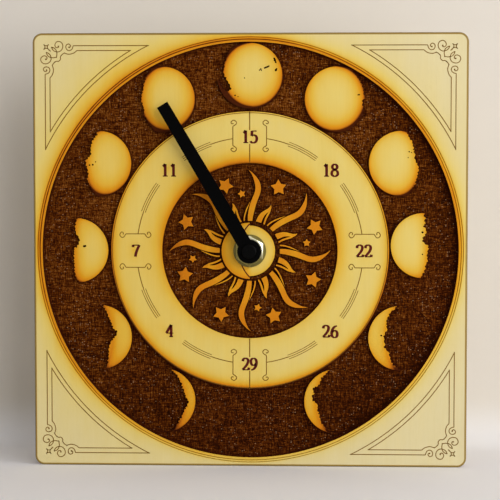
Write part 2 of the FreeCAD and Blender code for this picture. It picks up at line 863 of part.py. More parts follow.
def make_moon_wheel():
    """Wheel, hollow pipe to the front and pivot to the back, moulded in one piece."""
    body = wheel(moon_teeth, moon_turn, 0, 0, moon_layer, moon_gear_thick, pipe_radius)
    pipe = rod(pipe_radius, hand_front_y - cap_thick / 2, moon_layer + moon_gear_thick)
    pivot = rod(moon_pivot_radius, moon_layer + moon_gear_thick, train_pivot_y)
    cavity = rod(pipe_cavity_radius, hand_front_y - overrun, moon_layer)
    return lifted(fuse_all([body, pipe, pivot]).cut(cavity))


def make_second_wheel():
    x, z = second_place
    pinion_front = moon_layer - pinion_overlap
    return lifted(fuse_all([
        rod(pivot_radius, front_pivot_y, pinion_front, x, z),
        pinion(second_pinion_turn, second_place, pinion_front, second_layer),
        wheel(second_teeth, second_pinion_turn, x, z, second_layer, gear_thick, arbor_radius),
        rod(arbor_radius, second_layer, train_plate_y - pinion_overlap, x, z),
        rod(pivot_radius, second_layer, train_pivot_y, x, z),
    ]))


def make_third_wheel():
    x, z = third_place
    pinion_front = second_layer - pinion_overlap
    return lifted(fuse_all([
        rod(pivot_radius, front_pivot_y, pinion_front, x, z),
        rod(arbor_radius, room_y + pinion_overlap, pinion_front, x, z),
        pinion(third_pinion_turn, third_place, pinion_front, third_layer),
        wheel(third_teeth, third_pinion_turn, x, z, third_layer, gear_thick, arbor_radius),
        rod(arbor_radius, third_layer, train_plate_y - pinion_overlap, x, z),
        rod(pivot_radius, third_layer, train_pivot_y, x, z),
    ]))


magnet_y = train_back_y + stator_thick / 2 - magnet_thick / 2 + pinion_overlap
boss_y = magnet_y + magnet_thick + layer_gap


def make_rotor_pinion():
    x, z = rotor_place
    pinion_front = third_layer - pinion_overlap
    pinion_back = third_layer + gear_thick + pinion_overlap
    return lifted(fuse_all([
        rod(pivot_radius, front_pivot_y, boss_y + pivot_seat - running_gap, x, z),
        rod(arbor_radius, room_y + pinion_overlap, boss_y - pinion_overlap, x, z),
        pinion(rotor_pinion_turn, rotor_place, pinion_front, pinion_back),
    ]))


def make_rotor_magnet():
    x, z = rotor_place
    ring = rod(magnet_radius, magnet_y, magnet_y + magnet_thick, x, z)
    bore = rod(arbor_radius + seat_gap, magnet_y - overrun, magnet_y + magnet_thick + overrun, x, z)
    return lifted(ring.cut(bore))


def make_setting_arbor():
    x, z = setting_place
    pinion_front = moon_layer - pinion_overlap
    pinion_back = moon_layer + moon_gear_thick + pinion_overlap
    return lifted(fuse_all([
        rod(pivot_radius, front_pivot_y, pinion_front, x, z),
        pinion(setting_pinion_turn, setting_place, pinion_front, pinion_back),
        rod(set_arbor_radius, pinion_back, case_back_y + knob_gap + knob_thick / 2, x, z),
    ]))


def make_setting_knob():
    """Fluted knob with a coin slot, pressed on the setting arbor."""
    x, z = setting_place
    points = []
    for step in range(knob_flutes * 4):
        wave = 0.5 + 0.5 * math.cos(step * math.pi / 2)
        dx, dz = polar(knob_radius - knob_flute_depth * wave, step * 360 / (knob_flutes * 4))
        points.append((x + dx, z + dz))
    front = case_back_y + knob_gap
    grip = slab(polygon(points), front, knob_thick)
    bore = rod(set_arbor_radius + seat_gap, front - overrun, front + knob_thick / 2 + seat_gap, x, z)
    slot = block(x - knob_radius, x + knob_radius, front + knob_thick - knob_slot_depth,
                 front + knob_thick + overrun, z - knob_slot_depth, z + knob_slot_depth)
    return lifted(grip.cut([bore, slot]))


# Movement case


def corner_rounded(x_low, x_high, z_low, z_high, y_front, thick, radius):
    solid = slab(rectangle(x_low, x_high, z_low, z_high), y_front, thick)
    return rounded_edges(solid, radius, lambda edge: runs_along(edge, Vector(0, 1, 0)))


post_places = [
    (rotor_place[0] - 2 * magnet_radius, room_roof_z - post_radius),
    (half_room - 3 * post_radius, room_roof_z - 4 * post_radius),
    (half_room - 3 * post_radius, room_floor_z + 2 * post_radius),
    (-half_room / 2 + post_radius, room_floor_z + 2 * post_radius),
]
screwed_posts = post_places[:3]
lid_posts = [
    (half_room - lid_post_radius, room_roof_z - lid_post_radius),
    (lid_post_radius - half_room, room_roof_z - lid_post_radius),
]
notch_width = case_corner - case_wall + contact_thick
rail_y = stator_back_y + stator_thick + layer_gap


def pivot_places():
    return [second_place, third_place, rotor_place, setting_place]


def make_case_front():
    """Open-backed tub with the battery bay below and the train room above."""
    tub = corner_rounded(-half_case, half_case, case_low_z, case_high_z, case_y,
                         case_depth, case_corner)
    room = corner_rounded(-half_room, half_room, room_floor_z, room_roof_z, room_y,
                          case_depth, case_corner - case_wall)
    bay = slab(rectangle(-half_room, half_room, bay_floor_z, bay_roof_z), room_y, case_depth)
    shell = tub.cut([room, bay])
    posts = [rod(post_radius, case_y + case_wall / 2, train_plate_y, x, z) for x, z in post_places]
    posts += [rod(lid_post_radius, case_y + case_wall / 2, lid_y, x, z) for x, z in lid_posts]
    shell = shell.fuse(posts)
    cutters = [rod(bush_radius + running_gap, case_y - overrun, room_y + overrun)]
    for x, z in pivot_places():
        cutters.append(rod(pivot_radius + pivot_play, room_y - pivot_seat, room_y + overrun, x, z))
    for x, z in screwed_posts:
        cutters.append(rod(post_bore_radius, train_back_y - train_screw_length, train_back_y, x, z))
    for x, z in lid_posts:
        cutters.append(rod(post_bore_radius, lid_y - lid_screw_length, case_back_y, x, z))
    # Notches let the contact strips pass from the bay into the train room.
    for side in (-1, 1):
        ends = sorted((side * half_room, side * (half_room - notch_width)))
        cutters.append(block(ends[0], ends[1], battery_y - strip_width,
                             rail_y + strip_width + running_gap,
                             bay_roof_z - overrun, room_floor_z + notch_width))
    # The dividing wall ends under the lid.
    cutters.append(block(-half_room, half_room, lid_y, case_back_y + overrun,
                         bay_roof_z, room_roof_z))
    return lifted(shell.cut(cutters).removeSplitter())


def make_case_back():
    x_rotor, z_rotor = rotor_place
    x_set, z_set = setting_place
    cover = corner_rounded(lid_gap - half_room, half_room - lid_gap, bay_roof_z + lid_gap,
                           room_roof_z - lid_gap, lid_y, case_wall, case_corner - case_wall)
    boss = rod(2 * arbor_radius, boss_y, lid_y, x_rotor, z_rotor)
    cover = cover.fuse(boss)
    cutters = [
        rod(pivot_radius + pivot_play, boss_y - overrun, boss_y + pivot_seat, x_rotor, z_rotor),
        rod(set_arbor_radius + pivot_play, lid_y - overrun, case_back_y + overrun, x_set, z_set),
    ]
    for x, z in lid_posts:
        cutters.append(rod(lid_screw_radius + running_gap, lid_y - overrun,
                           case_back_y + overrun, x, z))
    return lifted(cover.cut(cutters).removeSplitter())


def pan_screw(x, z, y_seat, radius, head_radius, head_thick, length):
    """Small screw driven from the back, its head resting on y_seat."""
    shank = rod(radius, y_seat - length, y_seat + head_thick / 2, x, z)
    head = rod(head_radius, y_seat, y_seat + head_thick, x, z)
    slot = block(x - head_radius, x + head_radius, y_seat + head_thick / 2,
                 y_seat + head_thick + overrun, z - screw_slot_width / 2, z + screw_slot_width / 2)
    return shank.fuse(head).cut(slot)


def make_case_screws():
    screws = [pan_screw(x, z, case_back_y, lid_screw_radius, lid_screw_head_radius,
                        lid_screw_head, lid_screw_length) for x, z in lid_posts]
    return lifted(Part.makeCompound(screws))


def make_train_screws():
    length = train_screw_length - running_gap
    screws = [pan_screw(x, z, train_back_y, train_screw_radius, train_screw_head_radius,
                        train_screw_head, length) for x, z in screwed_posts]
    return lifted(Part.makeCompound(screws))


def make_train_plate():
    """Plate that carries the rear pivots, screwed on the posts of the case."""
    x_low = rotor_place[0] - 2 * magnet_radius - stator_arm - train_plate_margin
    x_high = half_room - 2 * lid_post_radius - running_gap
    plate = corner_rounded(x_low, x_high, room_floor_z + running_gap, room_roof_z - running_gap,
                           train_plate_y, train_plate_thick, train_plate_corner)
    front = train_plate_y - overrun
    back = train_back_y + overrun
    cutters = [
        rod(moon_pivot_radius + pivot_play, front, back),
        rod(set_arbor_radius + pivot_play, front, back, setting_place[0], setting_place[1]),
        rod(magnet_radius + magnet_hole_gap, front, back, rotor_place[0], rotor_place[1]),
    ]
    for x, z in (second_place, third_place):
        cutters.append(rod(pivot_radius + pivot_play, front, back, x, z))
    for x, z in screwed_posts:
        cutters.append(rod(train_screw_radius + running_gap, front, back, x, z))
    return lifted(plate.cut(cutters))


def make_rubber_gasket():
    ring = disc(gasket_radius).cut(disc(bush_radius + plate_hole_gap))
    return lifted(slab(ring, back_y, gasket_thick))


def make_hanger():
    """Steel hanger clamped behind the gasket, with a round nail hole above the case."""
    half = hanger_width / 2
    nail_z = case_high_z + nail_lift
    sheet = disc(hanger_radius).fuse([rectangle(-half, half, 0, nail_z), disc(half, 0, nail_z)])
    sheet = sheet.removeSplitter()
    sheet = sheet.cut([disc(bush_radius + hanger_hole_gap), disc(nail_radius, 0, nail_z)])
    return lifted(slab(sheet, hanger_y, hanger_thick))


def make_threaded_bush():
    flange = rod(bush_flange_radius, room_y, room_y + bush_flange_thick)
    barrel = rod(bush_radius, bush_tip_y, room_y + bush_flange_thick / 2)
    bore = rod(bush_bore_radius, bush_tip_y - overrun, room_y + bush_flange_thick + overrun)
    return lifted(flange.fuse(barrel).cut(bore))


def make_clamp_washer():
    ring = disc(washer_radius).cut(disc(bush_radius + running_gap))
    return lifted(slab(ring, face_y - washer_thick, washer_thick))


def make_hex_nut():
    corner = nut_flats / 2 / math.cos(math.pi / nut_sides)
    points = [polar(corner, step * 360 / nut_sides + nut_turn_deg) for step in range(nut_sides)]
    front = face_y - washer_thick - nut_thick
    blank = slab(polygon(points), front, nut_thick)
    front_radius = (nut_flats - nut_chamfer) / 2
    cone = Part.makeCone(front_radius, front_radius + 2 * nut_thick, nut_thick,
                         Vector(0, front, 0), Vector(0, 1, 0))
    bore = rod(bush_radius + running_gap, front - overrun, face_y)
    return lifted(blank.common(cone).cut(bore))


# Hand


def make_moon_hand():
    reach = orbit_radius - hand_tip_gap
    root = hand_root_width / 2
    tip = hand_tip_width / 2
    blade = polygon([(-root, 0), (root, 0), (tip, reach), (-tip, reach)])
    blade = blade.fuse(disc(hub_radius)).removeSplitter()
    hand = slab(blade, hand_front_y, hand_thick)
    collar_back_y = hand_back_y + hub_collar
    hand = hand.fuse(rod(hub_collar_radius, hand_back_y - hand_thick / 2, collar_back_y))
    hand = hand.cut(rod(pipe_radius + seat_gap, hand_front_y - overrun, collar_back_y + overrun))
    hand = hand.removeSplitter()
    hand.rotate(Vector(0, 0, 0), Vector(0, -1, 0), hand_turn_deg)
    return lifted(hand)


def make_hand_cap():
    cap = rod(cap_radius, hand_front_y - cap_thick, hand_front_y)
    middle_y = hand_front_y - cap_thick / 2
    front = [edge for edge in cap.Edges if edge.BoundBox.YMax < middle_y]
    cap = cap.makeFillet(cap_round, front)
    seat = rod(pipe_radius + seat_gap, middle_y - seat_gap, hand_front_y + overrun)
    return lifted(cap.cut(seat))


# Motor, circuit and battery


coil_x = coil_wall_gap + coil_flange / 2 - half_room
stator_top_z = rotor_place[1] + magnet_radius + magnet_hole_gap + stator_rise
coil_top_z = stator_top_z - stator_arm - coil_end_gap
stator_low_z = room_floor_z + 2 * running_gap + stator_foot
coil_low_z = stator_low_z + coil_end_gap


def make_stator_plate():
    """Flat iron frame round the rotor, with two arms that reach the coil's core."""
    x, z = rotor_place
    hole = magnet_radius + magnet_hole_gap
    left = coil_x - coil_core_width / 2
    right = x + hole + stator_side
    inner = x - hole - stator_side
    bottom = z - hole - stator_side
    frame = polygon([
        (right, stator_top_z),
        (left, stator_top_z),
        (left, stator_top_z - stator_arm),
        (inner, stator_top_z - stator_arm),
        (inner, stator_low_z),
        (left, stator_low_z),
        (left, stator_low_z - stator_foot),
        (inner + stator_arm, stator_low_z - stator_foot),
        (inner + stator_arm, bottom),
        (right, bottom),
    ])
    notch = rectangle(x + hole - stator_notch, x + hole + stator_notch,
                      z - stator_notch, z + stator_notch)
    frame = frame.cut([disc(hole, x, z), notch])
    return lifted(slab(frame, train_back_y, stator_thick))


def make_coil_core():
    low = stator_low_z - stator_foot
    half = coil_core_width / 2
    return lifted(block(coil_x - half, coil_x + half, stator_back_y, stator_back_y + stator_thick,
                        low, stator_top_z))


def coil_tube(half_width, half_depth, z_low, z_high):
    return block(coil_x - half_width, coil_x + half_width, core_middle_y - half_depth,
                 core_middle_y + half_depth, z_low, z_high)


def make_coil_bobbin():
    half_width = coil_core_width / 2 + coil_fit
    half_depth = stator_thick / 2 + coil_fit
    half_flange = coil_flange / 2
    tube = coil_tube(half_width + coil_tube_wall, half_depth + coil_tube_wall, coil_low_z, coil_top_z)
    ends = [
        coil_tube(half_flange, half_flange, coil_low_z, coil_low_z + coil_flange_thick),
        coil_tube(half_flange, half_flange, coil_top_z - coil_flange_thick, coil_top_z),
    ]
    passage = coil_tube(half_width, half_depth, coil_low_z - overrun, coil_top_z + overrun)
    return lifted(tube.fuse(ends).cut(passage).removeSplitter())


def make_coil_winding():
    half_width = coil_core_width / 2 + coil_fit + coil_tube_wall
    half_depth = stator_thick / 2 + coil_fit + coil_tube_wall
    low = coil_low_z + coil_flange_thick
    high = coil_top_z - coil_flange_thick
    outer = coil_tube(half_width + winding_thick, half_depth + winding_thick, low, high)
    outer = rounded_edges(outer, winding_round, lambda edge: runs_along(edge, Vector(0, 0, 1)))
    return lifted(outer.cut(coil_tube(half_width, half_depth, low - overrun, high + overrun)))


board_x_low = (rotor_place[0] + magnet_radius + magnet_hole_gap + stator_side
               + board_stator_gap)
board_x_high = half_room - 2 * lid_post_radius - 2 * running_gap
board_z_low = post_places[2][1] + train_screw_head_radius + board_screw_gap
board_z_high = post_places[1][1] - train_screw_head_radius - board_screw_gap
board_back_y = train_back_y + board_thick
board_middle_x = (board_x_low + board_x_high) / 2


def make_circuit_board():
    board = block(board_x_low, board_x_high, train_back_y, board_back_y, board_z_low, board_z_high)
    return lifted(board)


def make_control_chip():
    x = board_middle_x
    z = board_z_low + (board_z_high - board_z_low) * chip_place_share
    blob = rod(chip_radius, board_back_y, board_back_y + chip_height, x, z)
    top = [edge for edge in blob.Edges if edge.BoundBox.YMin > board_back_y + chip_height / 2]
    return lifted(blob.makeFillet(chip_round, top))


def make_quartz_crystal():
    """Small can lying on the board."""
    z = board_z_low + 2 * chip_radius
    y = board_back_y + crystal_radius + seat_gap
    start = Vector(board_middle_x - crystal_length / 2, y, z)
    return lifted(Part.makeCylinder(crystal_radius, crystal_length, start, Vector(1, 0, 0)))


def contact_plate(side):
    """Upright contact on an end wall of the bay, with a tab up into the train room."""
    wall = side * half_room
    inner = wall - side * contact_thick
    low, high = min(wall, inner), max(wall, inner)
    half = contact_width / 2
    plate = block(low, high, battery_y - half, battery_y + half, battery_z - half, battery_z + half)
    tab = block(low, high, battery_y - strip_width / 2, battery_y + strip_width / 2,
                battery_z, room_floor_z + strip_width)
    return plate.fuse(tab)


def make_contact_plus():
    """Positive contact with a strip along the room's side wall to the circuit board."""
    wall = half_room
    y_low = board_back_y
    strip = block(wall - contact_thick, wall, battery_y - strip_width / 2, y_low + strip_width,
                  room_floor_z, board_z_low + strip_width)
    finger = block(board_x_high - strip_width, wall, y_low, y_low + contact_thick,
                   board_z_low, board_z_low + strip_width)
    return lifted(contact_plate(1).fuse([strip, finger]).removeSplitter())


battery_x_high = half_room - contact_thick - running_gap
battery_x_low = battery_x_high - battery_length - battery_nub


def make_contact_minus():
    """Negative contact: a bowed leaf at the bay's end and a strip to the circuit board."""
    wall = -half_room
    bow_root = wall + contact_thick / 2
    bow_top = battery_x_low - running_gap
    half = contact_width / 2
    bow = polygon([
        (bow_root, battery_z - half), (bow_root + contact_thick, battery_z - half),
        (bow_top, battery_z), (bow_root + contact_thick, battery_z + half),
        (bow_root, battery_z + half), (bow_top - contact_thick, battery_z),
    ])
    leaf = slab(bow, battery_y - strip_width, 2 * strip_width)
    rail = block(wall, board_x_low + strip_width, rail_y, rail_y + strip_width,
                 room_floor_z, room_floor_z + contact_thick)
    riser = block(board_x_low, board_x_low + strip_width, board_back_y, board_back_y + contact_thick,
                  room_floor_z, board_z_low + strip_width)
    link = block(board_x_low, board_x_low + strip_width, board_back_y, rail_y + strip_width,
                 room_floor_z, room_floor_z + contact_thick)
    return lifted(contact_plate(-1).fuse([leaf, rail, riser, link]).removeSplitter())


def make_battery_cell():
    axis = Vector(1, 0, 0)
    can = Part.makeCylinder(battery_radius, battery_length,
                            Vector(battery_x_low, battery_y, battery_z), axis)
    can = can.makeFillet(battery_round, can.Edges[:1] + can.Edges[2:])
    nub_start = Vector(battery_x_high - battery_nub - battery_round, battery_y, battery_z)
    nub = Part.makeCylinder(battery_nub_radius, battery_nub + battery_round, nub_start, axis)
    return lifted(can.fuse(nub))


makers = {
    "face_plate": make_face_plate,
    "rear_foot": make_rear_foot,
    "hinge_fixed_leaf": make_fixed_leaf,
    "hinge_moving_leaf": make_moving_leaf,
    "hinge_pin": make_hinge_pin,
    "hinge_face_screws": make_face_screws,
    "hinge_foot_screws": make_foot_screws,
    "rubber_gasket": make_rubber_gasket,
    "wall_hanger": make_hanger,
    "case_front": make_case_front,
    "case_back": make_case_back,
    "case_screws": make_case_screws,
    "threaded_bush": make_threaded_bush,
    "clamp_washer": make_clamp_washer,
    "hex_nut": make_hex_nut,
    "moon_hand": make_moon_hand,
    "hand_cap": make_hand_cap,
    "moon_wheel": make_moon_wheel,
    "second_wheel": make_second_wheel,
    "third_wheel": make_third_wheel,
    "rotor_pinion": make_rotor_pinion,
    "rotor_magnet": make_rotor_magnet,
    "setting_arbor": make_setting_arbor,
    "setting_knob": make_setting_knob,
    "train_plate": make_train_plate,
    "train_screws": make_train_screws,
    "stator_plate": make_stator_plate,
    "coil_core": make_coil_core,
    "coil_bobbin": make_coil_bobbin,
    "coil_winding": make_coil_winding,
    "circuit_board": make_circuit_board,
    "control_chip": make_control_chip,
    "quartz_crystal": make_quartz_crystal,
    "contact_plus": make_contact_plus,
    "contact_minus": make_contact_minus,
    "battery_cell": make_battery_cell,
}

if __name__ == "__main__":
    os.makedirs("parts", exist_ok=True)
    for name, maker in makers.items():
        shape = maker()
        print(name, shape.isValid(), len(shape.Solids), round(shape.Volume, 2))
        shape.exportStep(os.path.join("parts", name + ".step"))
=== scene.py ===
import math

import bmesh
import bpy
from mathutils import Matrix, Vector


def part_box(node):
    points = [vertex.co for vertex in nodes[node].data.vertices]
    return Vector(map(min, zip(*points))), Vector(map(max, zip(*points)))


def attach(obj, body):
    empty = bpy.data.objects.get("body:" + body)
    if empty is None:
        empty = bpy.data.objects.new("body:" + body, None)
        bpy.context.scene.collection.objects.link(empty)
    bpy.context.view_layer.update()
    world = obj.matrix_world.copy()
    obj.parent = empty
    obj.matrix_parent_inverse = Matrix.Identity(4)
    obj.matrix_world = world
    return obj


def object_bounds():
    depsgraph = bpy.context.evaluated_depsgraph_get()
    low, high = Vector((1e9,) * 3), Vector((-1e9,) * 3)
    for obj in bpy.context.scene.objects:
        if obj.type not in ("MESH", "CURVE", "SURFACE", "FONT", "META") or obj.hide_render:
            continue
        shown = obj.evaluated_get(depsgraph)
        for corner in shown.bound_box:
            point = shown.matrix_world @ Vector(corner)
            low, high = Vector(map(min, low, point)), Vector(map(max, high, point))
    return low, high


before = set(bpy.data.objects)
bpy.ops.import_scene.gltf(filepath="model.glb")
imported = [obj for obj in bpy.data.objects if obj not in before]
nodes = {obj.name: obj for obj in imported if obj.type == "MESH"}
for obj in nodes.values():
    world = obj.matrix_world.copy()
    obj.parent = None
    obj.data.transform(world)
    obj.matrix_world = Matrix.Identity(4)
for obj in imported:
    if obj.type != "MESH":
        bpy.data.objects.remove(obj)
cad_low, cad_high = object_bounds()

# The dial is drawn in millimetres from its centre, X to the right and Z up, as seen from
# the front. Everything else is in metres, in the frame of the clock.
mm = 0.001
face_low, face_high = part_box("face_plate")
face_y = face_low.y
half_side = (face_high.x - face_low.x) / 2 / mm
dial_z = (face_low.z + face_high.z) / 2

# Wooden relief
side_corner = 3.3
rim_radius = 73.1
ring_outer = 48.8
ring_inner = 30.8
orbit_radius = 61.25
moon_radius = 11.4
sun_radius = 9.9
sun_inner_radius = 8.9

# How far each moon's lit part reaches past its middle, in moon radii, clockwise from the
# top, which limb is lit (minus one for the left, one for the right), and how far the
# moon sits off its place, across and up in moon radii.
moon_shares = [
    (0.85, 1, 0, 0), (0.82, -1, 0, 0), (0.47, -1, 0, 0), (0.09, -1, -0.04, 0.17),
    (-0.49, -1, 0, 0), (-0.67, -1, 0, 0), (-1.00, -1, 0, 0), (-0.70, 1, 0, 0),
    (-0.42, 1, 0, 0), (0.01, 1, 0, 0), (0.35, 1, 0, 0), (0.64, 1, 0, 0),
]

# Two thin burnt lines round the rim, out from the pocket's edge. Their stain comes on top
# of the rim's scorch, which has its own limit, where 0 is bare wood and 1 is char.
rim_lines = (0.9, 1.65)
rim_line_half = 0.1
rim_line_blur = 0.14
rim_line_stain = 0.22
rim_stain_most = 0.76

# How far the scorch reaches from each edge, in millimetres
rim_char_reach = 1.5
rim_scorch_reach = 4.0
rim_smoke_reach = 10.0
ring_smoke_reach = 2.9
ring_scorch_reach = 1.7
ring_char_reach = 0.3
sun_scorch_reach = 1.2
moon_scorch_reach = 3.2
moon_shadow_reach = 2.3
moon_char_reach = 0.6

# Where the rays are palest, and the band of the sky that is rubbed paler, from the centre
ray_middle = 15.0
ray_pale_reach = 5.0
sky_band_middle = 53.8
sky_band_reach = 7.0

# Golden halo round each number: how far beyond the number's middle it is centred, how far
# it reaches outward, and the share by which a distance along the ring counts
halo_out = 0.8
halo_reach = 1.7
halo_squeeze = 0.55

# Distances in from the outline of the face, and depths from its front, between which one
# look gives way to the next
edge_cut = (0.15, 0.45)
edge_dark = (0.25, 0.55)
edge_worn = (0.6, 0.85)
into_pocket = (0.12, 0.35)
past_pocket = (2.3, 2.5)
to_bare_back = (5.6, 5.9)

# Soot and painted shade in the corners between a pocket's floor and its walls, in metres
corner_soot_and_shade_reach = 0.0012

# Engraved lines: half widths, how far they stand over the face and reach into it, and
# where they lie. Angles run clockwise from the top of each quarter.
line_half = 0.15
bundle_half = 0.11
ring_line_half = 0.13
tick_half = 0.19
divider_half = 0.21
line_rise = 0.03
line_sink = 0.06
outer_frame = 4.4
inner_frame = 6.1
outer_frame_radius = 80.15
inner_frame_radius = 81.6
ring_line_inset = 0.45
bracket_reach = 5.9
bracket_low = 36.9
bracket_high = 43.6
bracket_curl = (
    (0, 0), (-1.1, 0.75), (-1.2, 1.55), (-0.35, 2.15), (0.6, 1.6), (0.45, 0.95), (-0.1, 0.95),
)
bracket_eye = (-0.05, 0.95)
tick_stop_high = 42.3
tick_stop_low = 37.5
tick_inset = 0.1
arc_radius = 39.75
bundle_radii = (39.1, 39.8, 40.5)
bundle_start_deg = 20.0
bundle_end_deg = 36.0
sun_line = ((0.0, 9.5), (-3.8, 0.2), (0.0, -9.3))

# Plain numbers on the ring: the moon's age in days, clockwise from the top
age_numbers = ("15", "18", "22", "26", "29", "4", "7", "11")
number_radius = 40.0
number_height = 4.3
number_gap = 0.35
nib_thin_share = 0.045
nib_thick_share = 0.112

# Camera
camera_distance = 0.607
camera_right_deg = 2.3
camera_up_deg = 3.2
camera_lens = 124.5
camera_aim_right = 0.0001
camera_aim_up = 0.0003

# Room
wall_gap = 0.003
cove_radius = 0.02
room_half = 0.9
room_front = 1.6
room_height = 1.2
floor_glow = (0.045, 0.045, 0.05, 1.0)
floor_dims_from = 0.06
floor_dims_to = 0.45
room_light = (0.33, 0.33, 0.33, 1.0)
room_seen = (0.76, 0.74, 0.70, 1.0)

# One soft lamp at the right, placed from the middle of the dial
key_place = (0.761, -0.616, 0.26)
key_wide = 1.6
key_high = 0.8
key_power = 13.4


def paint(red, green, blue):
    """Colour from its three parts out of 255, as seen on a screen."""
    parts = []
    for part in (red, green, blue):
        share = part / 255
        parts.append(share / 12.92 if share <= 0.04045 else ((share + 0.055) / 1.055) ** 2.4)
    return (parts[0], parts[1], parts[2], 1.0)


# Signals: numbers and colours that change over a surface


class Signal:
    """One output of a node tree. Sums, products and the like become nodes."""

    def __init__(self, tree, socket):
        self.tree = tree
        self.socket = socket

    def math(self, operation, *others):
        node = self.tree.nodes.new("ShaderNodeMath")
        node.operation = operation
        for slot, value in enumerate((self,) + others):
            feed(self.tree, value, node.inputs[slot])
        return Signal(self.tree, node.outputs[0])

    def __add__(self, other):
        return self.math("ADD", other)

    def __radd__(self, other):
        return self.math("ADD", other)

    def __sub__(self, other):
        return self.math("SUBTRACT", other)

    def __rsub__(self, other):
        return (self * -1) + other

    def __mul__(self, other):
        return self.math("MULTIPLY", other)

    def __rmul__(self, other):
        return self.math("MULTIPLY", other)

    def __truediv__(self, other):
        return self.math("DIVIDE", other)

    def __neg__(self):
        return self * -1


def feed(tree, value, socket):
    """Link a signal to a socket, or set the socket to a plain number or colour."""
    if isinstance(value, Signal):
        tree.links.new(value.socket, socket)
    else:
        socket.default_value = value


def root(value):
    return value.math("SQRT")


def size(value):
    return value.math("ABSOLUTE")


def lesser(value, other):
    return value.math("MINIMUM", other)


def greater(value, other):
    return value.math("MAXIMUM", other)


def length(first, second):
    return root(first * first + second * second)


def fade(distance, reach):
    """One at zero distance, falling off over the reach."""
    return (greater(distance, 0.0) * (-1.0 / reach)).math("EXPONENT")


def step_up(value, start, end):
    """Zero below start, one above end, smooth between them."""
    node = value.tree.nodes.new("ShaderNodeMapRange")
    node.interpolation_type = "SMOOTHSTEP"
    feed(value.tree, value, node.inputs["Value"])
    feed(value.tree, start, node.inputs["From Min"])
    feed(value.tree, end, node.inputs["From Max"])
    return Signal(value.tree, node.outputs["Result"])


def place(tree):
    """Position on the object at rest, in metres, as a vector signal."""
    return Signal(tree, tree.nodes.new("ShaderNodeTexCoord").outputs["Object"])


def split(vector):
    node = vector.tree.nodes.new("ShaderNodeSeparateXYZ")
    feed(vector.tree, vector, node.inputs[0])
    return [Signal(vector.tree, node.outputs[slot]) for slot in range(3)]


def join(x, y, z):
    tree = next(part.tree for part in (x, y, z) if isinstance(part, Signal))
    node = tree.nodes.new("ShaderNodeCombineXYZ")
    for slot, part in enumerate((x, y, z)):
        feed(tree, part, node.inputs[slot])
    return Signal(tree, node.outputs[0])


def stretched(vector, x, y, z):
    """The vector scaled by a factor along each axis."""
    node = vector.tree.nodes.new("ShaderNodeVectorMath")
    node.operation = "MULTIPLY"
    feed(vector.tree, vector, node.inputs[0])
    node.inputs[1].default_value = (x, y, z)
    return Signal(vector.tree, node.outputs[0])


def noise(vector, scale, detail=3.0, roughness=0.55):
    node = vector.tree.nodes.new("ShaderNodeTexNoise")
    feed(vector.tree, vector, node.inputs["Vector"])
    feed(vector.tree, scale, node.inputs["Scale"])
    node.inputs["Detail"].default_value = detail
    node.inputs["Roughness"].default_value = roughness
    return Signal(vector.tree, node.outputs["Fac"])


def cells(vector, scale):
    """Distance to the nearest of many scattered points, and a random value for each."""
    node = vector.tree.nodes.new("ShaderNodeTexVoronoi")
    feed(vector.tree, vector, node.inputs["Vector"])
    feed(vector.tree, scale, node.inputs["Scale"])
    tint = split(Signal(vector.tree, node.outputs["Color"]))[0]
    return Signal(vector.tree, node.outputs["Distance"]), tint


def mixed(share, first, second):
    """Colour between the first and the second."""
    node = share.tree.nodes.new("ShaderNodeMix")
    node.data_type = "RGBA"
    feed(share.tree, share, node.inputs[0])
    feed(share.tree, first, node.inputs[6])
    feed(share.tree, second, node.inputs[7])
    return Signal(share.tree, node.outputs[2])


def ramp(value, stops, interpolation="LINEAR"):
    """Colour looked up from stops of a position and a colour."""
    node = value.tree.nodes.new("ShaderNodeValToRGB")
    band = node.color_ramp
    band.interpolation = interpolation
    while len(band.elements) < len(stops):
        band.elements.new(1.0)
    for element, (position, colour) in zip(band.elements, stops):
        element.position = position
        element.color = colour
    feed(value.tree, value, node.inputs[0])
    return Signal(value.tree, node.outputs[0])


def bumped(height, strength, distance):
    node = height.tree.nodes.new("ShaderNodeBump")
    node.inputs["Strength"].default_value = strength
    node.inputs["Distance"].default_value = distance
    feed(height.tree, height, node.inputs["Height"])
    return Signal(height.tree, node.outputs[0])


def closeness(tree, reach):
    """How much of what lies over the surface, within reach, is filled by walls of this piece."""
    node = tree.nodes.new("ShaderNodeAmbientOcclusion")
    node.only_local = True
    node.samples = 12
    node.inputs["Distance"].default_value = reach
    return 1.0 - Signal(tree, node.outputs["AO"])


def facing(tree):
    """The surface's own direction, in the frame of the clock, in its size along each axis."""
    source = Signal(tree, tree.nodes.new("ShaderNodeTexCoord").outputs["Normal"])
    return [size(part) for part in split(source)]


# Effects shared by several finishes


def make_effect(name, inputs, outputs, build):
    """Node group with named inputs and outputs. build gets the inputs as signals."""
    group = bpy.data.node_groups.new(name, "ShaderNodeTree")
    for title, kind, value in inputs:
        socket = group.interface.new_socket(title, in_out="INPUT", socket_type=kind)
        if value is not None:
            socket.default_value = value
    for title, kind in outputs:
        group.interface.new_socket(title, in_out="OUTPUT", socket_type=kind)
    start = group.nodes.new("NodeGroupInput")
    end = group.nodes.new("NodeGroupOutput")
    results = build(*[Signal(group, start.outputs[title]) for title, kind, value in inputs])
    for result, (title, kind) in zip(results, outputs):
        feed(group, result, end.inputs[title])
    return group


def use(tree, group, **values):
    """Place an effect in a material. Underscores in a name stand for spaces."""
    node = tree.nodes.new("ShaderNodeGroup")
    node.node_tree = group
    for name, value in values.items():
        feed(tree, value, node.inputs[name.replace("_", " ")])
    return [Signal(tree, socket) for socket in node.outputs if socket.enabled]


